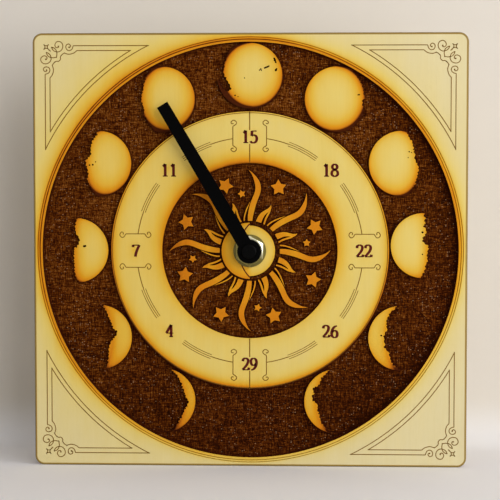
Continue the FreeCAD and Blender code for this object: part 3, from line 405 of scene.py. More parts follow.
def wood_grain(position, run, pale, deep):
    """Fine vertical grain of bare basswood ply, with slow drifts of tone."""
    fibres = noise(stretched(position, 1400, 1400, 46), 1.0, 4.0, 0.6)
    bands = noise(stretched(position, 170, 170, 12), 1.0, 2.0)
    drift = noise(position, 22.0, 2.0)
    pores = step_up(noise(stretched(position, 2600, 2600, 210), 1.0, 2.0), 0.62, 0.75)
    share = clamp_share(0.5 * fibres + 0.45 * bands + 0.35 * drift - 0.15)
    share = clamp_share(share * run + 0.35 * (1.0 - run) + 0.12 * pores)
    return mixed(share, pale, deep), fibres * 0.7 + bands * 0.3 - pores * 0.3


def clamp_share(value):
    return lesser(greater(value, 0.0), 1.0)


def burn_tones(stain, wobble):
    """Wood colour from bare (0) through golden and orange scorch to char (1)."""
    level = clamp_share(stain + 0.10 * (wobble - 0.5))
    return (ramp(level, [
        (0.00, paint(230, 218, 175)),
        (0.18, paint(230, 212, 148)),
        (0.33, paint(232, 207, 117)),
        (0.50, paint(230, 189, 74)),
        (0.68, paint(225, 160, 34)),
        (0.84, paint(212, 129, 24)),
        (0.94, paint(150, 78, 16)),
        (1.00, paint(72, 30, 8)),
    ]),)


def raster_floor(position, near):
    """Floor of a laser pocket: char crossed by the raster's rows and the wood's grain."""
    rows = noise(stretched(position, 420, 420, 3300), 1.0, 2.0, 0.7)
    columns = noise(stretched(position, 3200, 3200, 420), 1.0, 2.0, 0.7)
    grit = noise(position, 3000.0, 2.0, 0.7)
    drift = noise(position, 70.0, 3.0)
    weave = 0.36 * rows + 0.36 * columns + 0.28 * grit
    level = clamp_share((weave - 0.5) * 5.6 + 0.42 + 0.34 * (drift - 0.5) + near)
    tone = ramp(level, [
        (0.00, paint(34, 9, 0)),
        (0.28, paint(62, 23, 2)),
        (0.52, paint(83, 37, 4)),
        (0.78, paint(107, 56, 13)),
        (1.00, paint(134, 84, 33)),
    ])
    distance, chance = cells(stretched(position, 1500, 1500, 1900), 1.0)
    patch = noise(position, 60.0, 2.0)
    speck = step_up(chance + 0.5 * (patch - 0.5), 0.86, 0.93) * (1.0 - step_up(distance, 0.1, 0.45))
    return mixed(0.7 * speck, tone, paint(172, 132, 98)), weave + 0.4 * speck


def moulded_grain(position, size_scale):
    """Fine spark texture of a mould, and the slight marks of handling."""
    fine = noise(position, size_scale, 2.0)
    marks = noise(position, 55.0, 4.0, 0.7)
    return fine, step_up(marks, 0.42, 0.7)


def brushed(position, across, along):
    """Fine parallel lines of a drawn or polished metal, with stains between them."""
    x, y, z = split(position)
    lines = noise(join(x * across, y * across, z * along), 1.0, 4.0, 0.7)
    stains = noise(position, 90.0, 3.0)
    return lines, stains


grain_effect = make_effect(
    "wood_grain",
    [("Position", "NodeSocketVector", None), ("Run", "NodeSocketFloat", 1.0),
     ("Pale", "NodeSocketColor", None), ("Deep", "NodeSocketColor", None)],
    [("Tone", "NodeSocketColor"), ("Height", "NodeSocketFloat")], wood_grain)
burn_effect = make_effect(
    "burn_tones",
    [("Stain", "NodeSocketFloat", 0.0), ("Wobble", "NodeSocketFloat", 0.5)],
    [("Tone", "NodeSocketColor")], burn_tones)
raster_effect = make_effect(
    "raster_floor",
    [("Position", "NodeSocketVector", None), ("Near", "NodeSocketFloat", 0.0)],
    [("Tone", "NodeSocketColor"), ("Height", "NodeSocketFloat")], raster_floor)
mould_effect = make_effect(
    "moulded_grain",
    [("Position", "NodeSocketVector", None), ("Size Scale", "NodeSocketFloat", 4000.0)],
    [("Fine", "NodeSocketFloat"), ("Marks", "NodeSocketFloat")], moulded_grain)
brushed_effect = make_effect(
    "brushed_metal",
    [("Position", "NodeSocketVector", None), ("Across", "NodeSocketFloat", 6000.0),
     ("Along", "NodeSocketFloat", 200.0)],
    [("Lines", "NodeSocketFloat"), ("Stains", "NodeSocketFloat")], brushed)


# Finishes


def new_finish(name):
    """Empty material with its tree and its shader."""
    material = bpy.data.materials.new(name)
    material.use_nodes = True
    tree = material.node_tree
    tree.nodes.clear()
    shader = tree.nodes.new("ShaderNodeBsdfPrincipled")
    output = tree.nodes.new("ShaderNodeOutputMaterial")
    tree.links.new(shader.outputs[0], output.inputs[0])
    return material, tree, shader


def finish_surface(tree, shader, colour, roughness, normal=None):
    feed(tree, colour, shader.inputs["Base Color"])
    feed(tree, roughness, shader.inputs["Roughness"])
    if normal is not None:
        feed(tree, normal, shader.inputs["Normal"])


def beyond(radius, edge, blur=0.05):
    """One outside a circle round the dial's centre, zero inside it."""
    return step_up(radius, edge - blur, edge + blur)


def outline_distance(across, up):
    """Distance inside the rounded square outline of the face, in millimetres."""
    reach = half_side - side_corner
    over_x = size(across) - reach
    over_z = size(up) - reach
    corner = length(greater(over_x, 0.0), greater(over_z, 0.0))
    flat = lesser(greater(over_x, over_z), 0.0)
    return side_corner - corner - flat


def moon_stain(radius, turn):
    """Scorch of the moons: folded so that every moon lies round one centre."""
    moons = len(moon_shares)
    step = math.tau / moons
    nearest = (turn / step + 0.5).math("FLOOR")
    number = nearest.math("WRAP", float(moons), 0.0)
    centre_turn = nearest * step
    # Across and up are in the upright directions of the dial, from this moon's centre.
    x = radius * turn.math("SINE") - orbit_radius * centre_turn.math("SINE")
    z = radius * turn.math("COSINE") - orbit_radius * centre_turn.math("COSINE")
    place_in_row = (number + 0.5) / moons
    looked_up = ramp(place_in_row, [
        (index / moons, ((reach + 1) / 2, (lit + 1) / 2, 0.0, 1.0))
        for index, (reach, lit, off_x, off_z) in enumerate(moon_shares)
    ], "CONSTANT")
    offsets = ramp(place_in_row, [
        (index / moons, ((off_x + 1) / 2, (off_z + 1) / 2, 0.0, 1.0))
        for index, (reach, lit, off_x, off_z) in enumerate(moon_shares)
    ], "CONSTANT")
    reach_part, lit_part = split(looked_up)[:2]
    off_x_part, off_z_part = split(offsets)[:2]
    reach = reach_part * 2.0 - 1.0
    lit = lit_part * 2.0 - 1.0
    x = x - (off_x_part * 2.0 - 1.0) * moon_radius
    z = z - (off_z_part * 2.0 - 1.0) * moon_radius
    out = length(x, z)
    half_chord = root(greater(moon_radius * moon_radius - z * z, 0.0))
    terminator = reach * half_chord + x * lit
    limb = moon_radius - out
    below = 0.5 - 0.5 * (z / greater(out, 1.0))
    # The limb's scorch is stronger towards each moon's bottom.
    lower_weight = 0.45 + 0.55 * below
    high = greater(centre_turn.math("COSINE"), 0.0)
    stain = (0.25 + (0.36 + 0.32 * high) * fade(limb, moon_scorch_reach) * lower_weight
             + 0.42 * fade(terminator, moon_shadow_reach))
    return stain + 0.06 * high + 0.12 * fade(limb, moon_char_reach)


def engraved_wood():
    """The face: bare ply scorched along every edge, with charred pockets. Painted shade darkens parts of the
    pockets and of the sun.
    """
    material, tree, shader = new_finish("engraved_wood")
    position = place(tree)
    x, y, z = split(position)
    across = x / mm
    up = (z - dial_z) / mm
    depth = (y - face_y) / mm
    radius = length(across, up)
    turn = across.math("ARCTAN2", up)
    flat_x, flat_y, flat_z = facing(tree)
    upward = up / greater(radius, 1.0)
    above = 0.5 + 0.5 * upward
    below = 0.5 - 0.5 * upward

    # The stain differs between upper and lower edges of each pocket.
    outside = beyond(radius, rim_radius)
    in_ring = beyond(radius, ring_inner) * (1.0 - beyond(radius, ring_outer))
    in_middle = 1.0 - beyond(radius, ring_inner)
    in_sky = 1.0 - clamp_share(outside + in_ring + in_middle)
    from_rim = radius - rim_radius
    glow = 0.55 + 0.90 * noise(position, 30.0, 2.0)
    leftward = step_up(-across, -20.0, 70.0)
    rim_stain = (fade(from_rim, rim_char_reach) * (0.30 + 0.24 * above)
                 + fade(from_rim, rim_scorch_reach) * 0.12 * glow
                 + fade(from_rim, rim_smoke_reach) * (0.08 + 0.30 * above + 0.14 * leftward) * glow)
    on_rim_line = sum(fade(size(from_rim - line_at) - rim_line_half, rim_line_blur)
                      for line_at in rim_lines)
    ring_stain = (0.29 + fade(radius - ring_inner, ring_smoke_reach) * (0.14 + 0.52 * above)
                  + fade(ring_outer - radius, ring_scorch_reach) * (0.12 + 0.68 * below)
                  + 0.14 * fade(ring_outer - radius, ring_char_reach))
    number_step = math.tau / len(age_numbers)
    number_turn = turn - (turn / number_step + 0.5).math("FLOOR") * number_step
    number_far = length(radius * number_turn.math("COSINE") - (number_radius + halo_out),
                        radius * number_turn.math("SINE") * halo_squeeze)
    ring_stain = ring_stain + 0.16 * fade(number_far, halo_reach)
    # Painted shade: the sun's left half is stained deeper, partly as its own tone and partly as the hub's
    # shadow, deepest towards the lower left.
    leftmost = step_up(-across, -1.0, 1.0)
    sun_edge = sun_inner_radius + (sun_radius - sun_inner_radius) * leftmost
    sun_stain_and_shade = (0.36 + leftmost * (0.14 + 0.10 * below)
                 + 0.24 * fade(sun_edge - radius, sun_scorch_reach))
    ray_stain = 0.84 - (0.26 * fade(size(radius - ray_middle), ray_pale_reach)
                        * noise(position, 120.0, 2.0))
    in_sun = 1.0 - beyond(radius, sun_radius, 0.02)
    middle_stain_and_shade = ray_stain + in_sun * (sun_stain_and_shade - ray_stain)
    drifted = 0.09 * leftward
    # The total stain also carries the painted shade of the hub on the sun.
    stain = (outside * (lesser(rim_stain + drifted, rim_stain_most) + rim_line_stain * on_rim_line)
             + (1.0 - outside) * drifted
             + in_ring * ring_stain + in_middle * middle_stain_and_shade + in_sky * moon_stain(radius, turn))
    wobble = noise(stretched(position, 260, 260, 70), 1.0, 3.0)
    edge = outline_distance(across, up)
    scorched = use(tree, burn_effect, Stain=stain, Wobble=wobble)[0]
    grain, grain_height = use(tree, grain_effect, Position=position, Run=0.55,
                              Pale=(1.0, 1.0, 1.0, 1.0), Deep=(0.80, 0.755, 0.66, 1.0))
    edge_band = mixed(step_up(edge, *edge_dark), paint(150, 136, 84), paint(158, 124, 56))
    surface = mixed(1.0 - step_up(edge, *edge_worn), tinted(scorched, grain), tinted(edge_band, grain))

    # Pockets and their walls
    # Painted shade: the pocket floor darkens towards the right, most along the rim's right side. It is also
    # darker towards the bottom and paler along a band of the sky.
    rightward = step_up(across, 0.0, 66.0)
    floor_tone_and_painted_shade = (0.16 * fade(size(radius - sky_band_middle), sky_band_reach) * above - 0.10 * rightward
            - 0.60 * rightward * fade(rim_radius - radius, 1.6)
            - 0.16 * step_up(-up, 0.0, 70.0) * (1.0 - in_middle))
    floor, floor_height = use(tree, raster_effect, Position=position, Near=floor_tone_and_painted_shade)
    sunk = step_up(depth, *into_pocket)
    wall = step_up(1.0 - flat_y, 0.25, 0.6)
    char = mixed(wobble, paint(24, 5, 2), paint(72, 26, 6))
    # Painted shade and soot: the floor turns to char where the pocket's walls close over it
    beside_wall = step_up(closeness(tree, corner_soot_and_shade_reach), 0.06, 0.42)
    pocket = mixed(greater(wall, 0.85 * beside_wall), floor, char)
    colour = mixed(sunk * (1.0 - step_up(depth, *past_pocket)), surface, pocket)

    # Cut edge of the board: three plies browned by the cut, and the bare back
    plies = noise(join(x * 60.0, y * 900.0, z * 60.0), 1.0, 3.0)
    ply_line = fade(size(size(y / mm) - 1.0), 0.12)
    cut_edge = mixed(clamp_share(0.35 + 0.9 * (plies - 0.5) + 0.5 * ply_line),
                     paint(150, 98, 44), paint(58, 28, 10))
    outer_side = wall * (1.0 - step_up(edge, *edge_cut))
    colour = mixed(outer_side, colour, cut_edge)
    behind = step_up(depth, *to_bare_back)
    bare = tinted(use(tree, burn_effect, Stain=0.08 + 0.5 * fade(edge, 1.6), Wobble=wobble)[0], grain)
    colour = mixed(behind * (1.0 - outer_side), colour, bare)

    hollow = sunk * (1.0 - wall)
    height = grain_height * (1.0 - hollow) * 0.25 + floor_height * hollow
    roughness = 0.62 + 0.2 * sunk + 0.12 * (wobble - 0.5)
    finish_surface(tree, shader, colour, roughness, bumped(height, 0.5, 0.00022))
    shader.inputs["Specular IOR Level"].default_value = 0.02
    return material


def tinted(first, second):
    """Product of two colours."""
    node = first.tree.nodes.new("ShaderNodeMix")
    node.data_type = "RGBA"
    node.blend_type = "MULTIPLY"
    node.inputs[0].default_value = 1.0
    feed(first.tree, first, node.inputs[6])
    feed(first.tree, second, node.inputs[7])
    return Signal(first.tree, node.outputs[2])


def cut_board():
    """Ply of the rear foot: pale sides, edges browned by the cut."""
    material, tree, shader = new_finish("cut_board")
    position = place(tree)
    x, y, z = split(position)
    flat_x, flat_y, flat_z = facing(tree)
    side = step_up(flat_x, 0.5, 0.8)
    wobble = noise(stretched(position, 120, 200, 90), 1.0, 3.0)
    grain, grain_height = use(tree, grain_effect, Position=position, Run=0.7,
                              Pale=(1.0, 1.0, 1.0, 1.0), Deep=(0.78, 0.72, 0.62, 1.0))
    bare = tinted(use(tree, burn_effect, Stain=0.10 + 0.2 * wobble, Wobble=wobble)[0], grain)
    plies = noise(join(x * 1100.0, y * 60.0, z * 60.0), 1.0, 3.0)
    edge = mixed(clamp_share(0.4 + 1.2 * (plies - 0.5)), paint(156, 104, 48), paint(66, 32, 12))
    finish_surface(tree, shader, mixed(side, edge, bare), 0.65 + 0.15 * wobble,
                   bumped(grain_height, 0.4, 0.0002))
    shader.inputs["Specular IOR Level"].default_value = 0.3
    return material


def burnt_line(name, dark, brown):
    """Thin engraved line: brown char that varies along its length."""
    material, tree, shader = new_finish(name)
    position = place(tree)
    patches = noise(position, 900.0, 3.0)
    dots = noise(position, 5200.0, 2.0)
    finish_surface(tree, shader, mixed(clamp_share(0.6 * patches + 0.6 * dots - 0.1), dark, brown),
                   0.75 + 0.2 * dots, bumped(dots, 0.3, 0.00005))
    shader.inputs["Specular IOR Level"].default_value = 0.2
    return material


def plastic(name, tone, worn_tone, roughness, size_scale=4200.0, depth=0.00006):
    """Moulded plastic with spark texture and rubbed patches."""
    material, tree, shader = new_finish(name)
    fine, marks = use(tree, mould_effect, Position=place(tree), Size_Scale=size_scale)
    finish_surface(tree, shader, mixed(0.55 * marks + 0.25 * fine, tone, worn_tone),
                   roughness + 0.16 * (fine - 0.5) - 0.10 * marks,
                   bumped(fine, 0.55, depth))
    return material


def metal(name, tone, dull_tone, roughness, across, along, coat=0.0):
    """Bare or plated metal with fine lines and duller patches."""
    material, tree, shader = new_finish(name)
    lines, stains = use(tree, brushed_effect, Position=place(tree), Across=across, Along=along)
    finish_surface(tree, shader, mixed(clamp_share(1.5 * stains - 0.4), tone, dull_tone),
                   roughness + 0.22 * (lines - 0.5) + 0.12 * (stains - 0.5),
                   bumped(lines, 0.25, 0.00003))
    shader.inputs["Metallic"].default_value = 1.0
    shader.inputs["Coat Weight"].default_value = coat
    return material


def satin_black():
    """Black lacquer of the hand, a little worn along fine scratches."""
    material, tree, shader = new_finish("satin_black")
    position = place(tree)
    peel = noise(position, 2600.0, 2.0)
    rubbed = step_up(noise(stretched(position, 900, 900, 900), 1.0, 5.0, 0.75), 0.60, 0.72)
    finish_surface(tree, shader, mixed(0.3 * rubbed, paint(1, 1, 1), paint(8, 7, 6)),
                   0.50 + 0.2 * (peel - 0.5), bumped(peel, 0.3, 0.00004))
    shader.inputs["Specular IOR Level"].default_value = 0.03
    return material


def cap_black():
    """Turned cap in glossy black, with fine turning marks."""
    material, tree, shader = new_finish("cap_black")
    position = place(tree)
    x, y, z = split(position)
    mark_pitch = 0.00024
    marks = (length(x, z - dial_z) * (math.tau / mark_pitch)).math("SINE")
    dust = noise(position, 2400.0, 3.0)
    finish_surface(tree, shader, mixed(0.4 * dust, paint(1, 1, 1), paint(8, 8, 7)),
                   0.16 + 0.10 * dust, bumped(marks, 0.2, 0.00001))
    shader.inputs["Specular IOR Level"].default_value = 0.05
    return material


def nut_painted_light():
    """Nickel nut with a painted highlight towards the upper right and a painted olive reflection below."""
    material, tree, shader = new_finish("nut_painted_light")
    position = place(tree)
    x, y, z = split(position)
    lines, stains = use(tree, brushed_effect, Position=position, Across=5200.0, Along=300.0)
    # Painted highlight: the nut is paler towards the upper right and olive below
    bright = step_up((x + (z - dial_z)) / mm + 3.0 * (stains - 0.5), 0.5, 5.0)
    finish_surface(tree, shader, mixed(bright, paint(132, 122, 70), paint(226, 222, 190)),
                   0.24 + 0.2 * (lines - 0.5), bumped(lines, 0.25, 0.00003))
    shader.inputs["Metallic"].default_value = 1.0
    return material


def wound_copper():
    """Enamelled wire in close turns across the coil."""
    material, tree, shader = new_finish("wound_copper")
    position = place(tree)
    x, y, z = split(position)
    wire_pitch = 0.00022
    turns = (z * (math.tau / wire_pitch) + 2.0 * noise(position, 300.0)).math("SINE")
    finish_surface(tree, shader, mixed(0.5 + 0.5 * turns, paint(120, 54, 24), paint(206, 118, 66)),
                   0.34 - 0.08 * turns, bumped(turns, 0.8, 0.00008))
    shader.inputs["Metallic"].default_value = 0.85
    return material


def green_board():
    """Solder mask over faint copper tracks."""
    material, tree, shader = new_finish("green_board")
    position = place(tree)
    x, y, z = split(position)
    track_pitch = 0.0016
    tracks = (x * (math.tau / track_pitch) + 1.5 * (z * 900.0).math("SINE")).math("SINE")
    fine = noise(position, 2400.0)
    finish_surface(tree, shader,
                   mixed(step_up(tracks, 0.45, 0.6), paint(20, 92, 52), paint(46, 128, 72)),
                   0.3 + 0.15 * fine, bumped(step_up(tracks, 0.4, 0.65), 0.4, 0.00004))
    shader.inputs["Coat Weight"].default_value = 0.4
    return material


def battery_wrap():
    """Plain shrink wrapper: a pale band near the raised end, the rest dark, bare steel
    at both ends."""
    material, tree, shader = new_finish("battery_wrap")
    position = place(tree)
    x, y, z = split(position)
    cell_low, cell_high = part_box("battery_cell")
    band_long = 0.0125
    cap_long = 0.0016
    bottom_long = 0.0003
    band = step_up(x, cell_high.x - band_long, cell_high.x - band_long + 0.0003)
    cap = step_up(x, cell_high.x - cap_long, cell_high.x - cap_long + 0.0002)
    bottom = 1.0 - step_up(x, cell_low.x + bottom_long, cell_low.x + bottom_long + 0.0002)
    marks = noise(position, 240.0, 4.0, 0.7)
    wrap = mixed(band, mixed(marks, paint(36, 44, 58), paint(52, 62, 78)),
                 mixed(marks, paint(176, 120, 60), paint(198, 142, 78)))
    steel = clamp_share(cap + bottom)
    finish_surface(tree, shader, mixed(steel, wrap, paint(196, 196, 192)),
                   0.26 + 0.2 * marks, bumped(marks, 0.2, 0.00008))
    feed(tree, steel, shader.inputs["Metallic"])
    shader.inputs["Coat Weight"].default_value = 0.3
    return material


finishes = {
    "engraved_wood": engraved_wood(),
    "cut_board": cut_board(),
    "fine_line": burnt_line("fine_line", paint(92, 58, 2), paint(140, 102, 20)),
    "deep_char": burnt_line("deep_char", paint(66, 8, 8), paint(98, 26, 16)),
    "satin_black": satin_black(),
    "cap_black": cap_black(),
    "bright_nickel": metal("bright_nickel", paint(214, 210, 186), paint(158, 154, 128), 0.22, 5200.0, 300.0),
    "nut_painted_light": nut_painted_light(),
    "satin_brass": metal("satin_brass", paint(206, 170, 96), paint(158, 122, 62), 0.34, 5200.0, 240.0),
    "aged_brass": metal("aged_brass", paint(118, 108, 62), paint(78, 72, 38), 0.46, 4200.0, 400.0),
    "zinc_plate": metal("zinc_plate", paint(196, 200, 204), paint(150, 154, 156), 0.36, 4600.0, 260.0),
    "spring_nickel": metal("spring_nickel", paint(214, 210, 200), paint(170, 168, 160), 0.3, 5200.0, 300.0),
    "motor_iron": metal("motor_iron", paint(150, 150, 152), paint(108, 108, 110), 0.42, 3800.0, 240.0),
    "sintered_magnet": metal("sintered_magnet", paint(78, 78, 82), paint(52, 52, 54), 0.55, 2600.0, 2600.0),
    "case_plastic": plastic("case_plastic", paint(32, 32, 34), paint(52, 52, 54), 0.55),
    "white_gear": plastic("white_gear", paint(232, 228, 214), paint(214, 208, 190), 0.4, 5200.0, 0.00003),
    "knob_plastic": plastic("knob_plastic", paint(222, 220, 212), paint(196, 192, 182), 0.42),
    "train_grey": plastic("train_grey", paint(132, 134, 138), paint(108, 110, 112), 0.5),
    "bobbin_red": plastic("bobbin_red", paint(186, 48, 32), paint(150, 36, 26), 0.4),
    "gasket_rubber": plastic("gasket_rubber", paint(24, 24, 24), paint(44, 42, 40), 0.78, 3000.0, 0.0001),
    "chip_resin": plastic("chip_resin", paint(16, 16, 17), paint(34, 34, 36), 0.3),
    "wound_copper": wound_copper(),
    "green_board": green_board(),
    "battery_wrap": battery_wrap(),
}

node_finishes = {
    "face_plate": "engraved_wood", "rear_foot": "cut_board",
    "hinge_fixed_leaf": "satin_brass", "hinge_moving_leaf": "satin_brass",
    "hinge_pin": "satin_brass", "hinge_face_screws": "satin_brass",
    "hinge_foot_screws": "satin_brass", "rubber_gasket": "gasket_rubber",
    "wall_hanger": "zinc_plate", "case_front": "case_plastic", "case_back": "case_plastic",
    "case_screws": "zinc_plate", "threaded_bush": "satin_brass", "clamp_washer": "aged_brass",
    "hex_nut": "nut_painted_light", "moon_hand": "satin_black", "hand_cap": "cap_black",
    "moon_wheel": "white_gear", "second_wheel": "white_gear", "third_wheel": "white_gear",
    "rotor_pinion": "white_gear", "rotor_magnet": "sintered_magnet",
    "setting_arbor": "white_gear", "setting_knob": "knob_plastic",
    "train_plate": "train_grey", "train_screws": "zinc_plate", "stator_plate": "motor_iron",
    "coil_core": "motor_iron", "coil_bobbin": "bobbin_red", "coil_winding": "wound_copper",
    "circuit_board": "green_board", "control_chip": "chip_resin",
    "quartz_crystal": "bright_nickel", "contact_plus": "spring_nickel",
    "contact_minus": "spring_nickel", "battery_cell": "battery_wrap",
}
for node_name, finish_name in node_finishes.items():
    node = nodes[node_name]
    node.data.materials.clear()
    node.data.materials.append(finishes[finish_name])


# Lines on the dial, as points (x, z) in millimetres from its centre


def polar(radius, clockwise_deg):
    angle = math.radians(clockwise_deg)
    return (radius * math.sin(angle), radius * math.cos(angle))


def straight(start, end, steps=1):
    return [(start[0] + (end[0] - start[0]) * step / steps,
             start[1] + (end[1] - start[1]) * step / steps) for step in range(steps + 1)]


def dial_arc(radius, start_deg, end_deg, step_deg=2):
    steps = max(3, int(abs(end_deg - start_deg) / step_deg))
    return [polar(radius, start_deg + (end_deg - start_deg) * step / steps)
            for step in range(steps + 1)]


def arc_through(start, middle, end, steps=14):
    """Circle arc through three points."""
    ax, az = start
    bx, bz = middle
    cx, cz = end
    turn = 2 * (ax * (bz - cz) + bx * (cz - az) + cx * (az - bz))
    a, b, c = ax * ax + az * az, bx * bx + bz * bz, cx * cx + cz * cz
    x = (a * (bz - cz) + b * (cz - az) + c * (az - bz)) / turn
    z = (a * (cx - bx) + b * (ax - cx) + c * (bx - ax)) / turn
    first = math.atan2(az - z, ax - x)
    last = math.atan2(cz - z, cx - x)
    through = math.atan2(bz - z, bx - x)
    sweep = (last - first) % math.tau
    if (through - first) % math.tau > sweep:
        sweep -= math.tau
    radius = math.hypot(ax - x, az - z)
    return [(x + radius * math.cos(first + sweep * step / steps),
             z + radius * math.sin(first + sweep * step / steps)) for step in range(steps + 1)]


def smooth(points, steps=8):
    """Smooth curve through given points."""
    line = []
    for index in range(len(points) - 1):
        before = points[max(index - 1, 0)]
        start, end = points[index], points[index + 1]
        after = points[min(index + 2, len(points) - 1)]
        for step in range(steps):
            t = step / steps
            line.append(tuple(
                0.5 * (2 * start[k] + (end[k] - before[k]) * t
                       + (2 * before[k] - 5 * start[k] + 4 * end[k] - after[k]) * t * t
                       + (3 * start[k] - before[k] - 3 * end[k] + after[k]) * t ** 3)
                for k in (0, 1)))
    line.append(points[-1])
    return line


def even(points, half=line_half):
    """A line of one width: its points, each with the half width there."""
    return [(point, half) for point in points]


def add_strip(mesh, line):
    """Closed flat strip along a line, with its top just above the face."""
    top = face_y - line_rise * mm
    bottom = face_y + line_sink * mm
    count = len(line)
    rings = []
    for index in range(count):
        (x, z), half = line[index]
        before = line[max(index - 1, 0)][0]
        after = line[min(index + 1, count - 1)][0]
        along = Vector((after[0] - before[0], after[1] - before[1]))
        along.normalize()
        side = Vector((-along.y, along.x)) * half
        corners = []
        for way, y in ((1, top), (-1, top), (-1, bottom), (1, bottom)):
            corners.append(mesh.verts.new(((x + way * side.x) * mm, y,
                                           dial_z + (z + way * side.y) * mm)))
        rings.append(corners)
    for first, second in zip(rings, rings[1:]):
        for k in range(4):
            mesh.faces.new((first[k], first[(k + 1) % 4], second[(k + 1) % 4], second[k]))
    mesh.faces.new(rings[0][::-1])
    mesh.faces.new(rings[-1])


def add_dot(mesh, centre, radius, sides=12):
    """Small round dot, as high and as deep as the lines."""
    top = face_y - line_rise * mm
    bottom = face_y + line_sink * mm
    rims = []
    for y in (top, bottom):
        rim = []
        for k in range(sides):
            angle = math.tau * k / sides
            rim.append(mesh.verts.new(((centre[0] + radius * math.cos(angle)) * mm, y,
                                       dial_z + (centre[1] + radius * math.sin(angle)) * mm)))
        rims.append(rim)
    for k in range(sides):
        after = (k + 1) % sides
        mesh.faces.new((rims[0][k], rims[0][after], rims[1][after], rims[1][k]))
    mesh.faces.new(rims[0][::-1])
    mesh.faces.new(rims[1])


def engraved_piece(name, lines, dots, finish_name):
    mesh = bmesh.new()
    for line in lines:
        add_strip(mesh, line)
    for centre, radius in dots:
        add_dot(mesh, centre, radius)
    bmesh.ops.recalc_face_normals(mesh, faces=mesh.faces)
    data = bpy.data.meshes.new(name)
    mesh.to_mesh(data)
    mesh.free()
    piece = bpy.data.objects.new(name, data)
    bpy.context.scene.collection.objects.link(piece)
    data.materials.append(finishes[finish_name])
    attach(piece, "clock_body")
    return piece


# Corner ornament, in millimetres from the corner of the face: along one side, then away
# from it. The other half is its mirror image about the corner's diagonal.
scallop_points = (
    ((15.6, 6.1), (14.5, 6.95), (12.8, 7.35), (11.25, 6.95)),
    ((11.25, 6.95), (10.7, 7.25), (10.1, 7.8)),
    ((10.1, 7.8), (9.8, 8.4), (9.87, 9.0), (9.55, 9.55)),
)
small_scroll_points = (
    (14.3, 4.4), (14.15, 5.1), (13.7, 5.8), (12.9, 6.1), (12.1, 5.75), (11.75, 4.9), (12.0, 4.1),
    (12.7, 3.8), (13.25, 4.15), (13.4, 4.65), (13.0, 5.05),
)
small_scroll_eye = (12.9, 4.95)
large_scroll_points = (
    (8.5, 6.5), (9.25, 6.5), (10.15, 5.95), (10.65, 5.0), (10.6, 3.9), (10.0, 3.15), (9.15, 2.87),
    (8.4, 3.15), (7.92, 4.0), (8.05, 4.7), (8.55, 5.1), (9.1, 4.95), (9.15, 4.6),
)
large_scroll_eye = (9.12, 4.62)
leaf_root = (6.77, 4.92)
leaf_tip = (8.5, 6.5)
leaf_swell = 0.4
link_points = ((8.5, 6.5), (8.6, 7.2), (8.5, 7.9), (8.45, 8.45))
eye_radius = 0.28
knot_radius = 0.2
star_near = 4.05
star_far = 5.6
star_waist = 4.4
star_flank = 4.65
star_tail = ((5.6, 5.6), (5.95, 5.95), (6.4, 6.4))
star_tail_halves = (0.12, 0.22, 0.10)


def mirrored(points):
    return [(down, along) for along, down in points]


def corner_half_lines():
    """Lines of one half of a corner ornament, without the long arcs."""
    outer_tip = half_side - math.sqrt(outer_frame_radius ** 2 - (half_side - outer_frame) ** 2)
    inner_tip = half_side - math.sqrt(inner_frame_radius ** 2 - (half_side - inner_frame) ** 2)
    lines = [
        straight(small_scroll_points[0], (outer_tip + 0.3, outer_frame), 4),
        straight(scallop_points[0][0], (inner_tip + 0.2, inner_frame), 4),
        smooth(small_scroll_points),
        smooth(large_scroll_points),
        smooth(link_points),
    ]
    for points in scallop_points:
        lines.append(smooth(points))
    middle = ((leaf_root[0] + leaf_tip[0]) / 2, (leaf_root[1] + leaf_tip[1]) / 2)
    across = Vector((leaf_tip[1] - leaf_root[1], leaf_root[0] - leaf_tip[0])).normalized()
    for way in (-1, 1):
        belly = (middle[0] + way * leaf_swell * across.x, middle[1] + way * leaf_swell * across.y)
        lines.append(arc_through(leaf_root, belly, leaf_tip, 8))
    lines.append(arc_through((star_near, star_near), ((star_near + star_far) / 2, star_waist),
                             (star_far, star_near), 6))
    lines.append(arc_through((star_far, star_near), (star_far - (star_waist - star_near), star_flank),
                             (star_far, star_far), 6))
    return lines


def corner_half_dots():
    """Dots where the lines of one half of a corner ornament end or meet."""
    eyes = [(point, eye_radius) for point in (small_scroll_eye, large_scroll_eye)]
    knots = [(point, knot_radius) for point in (
        leaf_root, leaf_tip, scallop_points[1][0], scallop_points[2][0], (star_far, star_near))]
    return eyes + knots


def to_corner(points, side_x, side_z):
    return [(side_x * (half_side - along), side_z * (half_side - down)) for along, down in points]


def make_corner_scrolls():
    lines = []
    dots = []
    for side_x in (-1, 1):
        for side_z in (-1, 1):
            for half_line in corner_half_lines():
                for points in (half_line, mirrored(half_line)):
                    lines.append(even(to_corner(points, side_x, side_z)))
            for centre, radius in corner_half_dots():
                for points in ([centre], mirrored([centre])):
                    dots.append((to_corner(points, side_x, side_z)[0], radius))
            for centre in ((star_near, star_near), link_points[-1]):
                dots.append((to_corner([centre], side_x, side_z)[0], knot_radius))
            lines.append(list(zip(to_corner(star_tail, side_x, side_z), star_tail_halves)))
            for radius, inset in ((outer_frame_radius, outer_frame), (inner_frame_radius, inner_frame)):
                edge = half_side - inset
                tip = math.degrees(math.asin(edge / radius))
                arc = dial_arc(radius, tip, 90 - tip)
                lines.append(even([(side_x * x, side_z * z) for x, z in arc]))
    return engraved_piece("corner_scrolls", lines, dots, "fine_line")


def bracket_lines(side):
    """One upright bracket of the top cell, with a curl at each end turned to the middle."""
    x = side * bracket_reach
    lines = [straight((x, bracket_low), (x, bracket_high), 4)]
    for z, way in ((bracket_high, 1), (bracket_low, -1)):
        curl = [(x + side * out, z + way * past) for out, past in bracket_curl]
        lines.append(smooth(curl, 5))
    return lines


def turned(points, clockwise_deg):
    angle = math.radians(clockwise_deg)
    return [(x * math.cos(angle) + z * math.sin(angle), z * math.cos(angle) - x * math.sin(angle))
            for x, z in points]


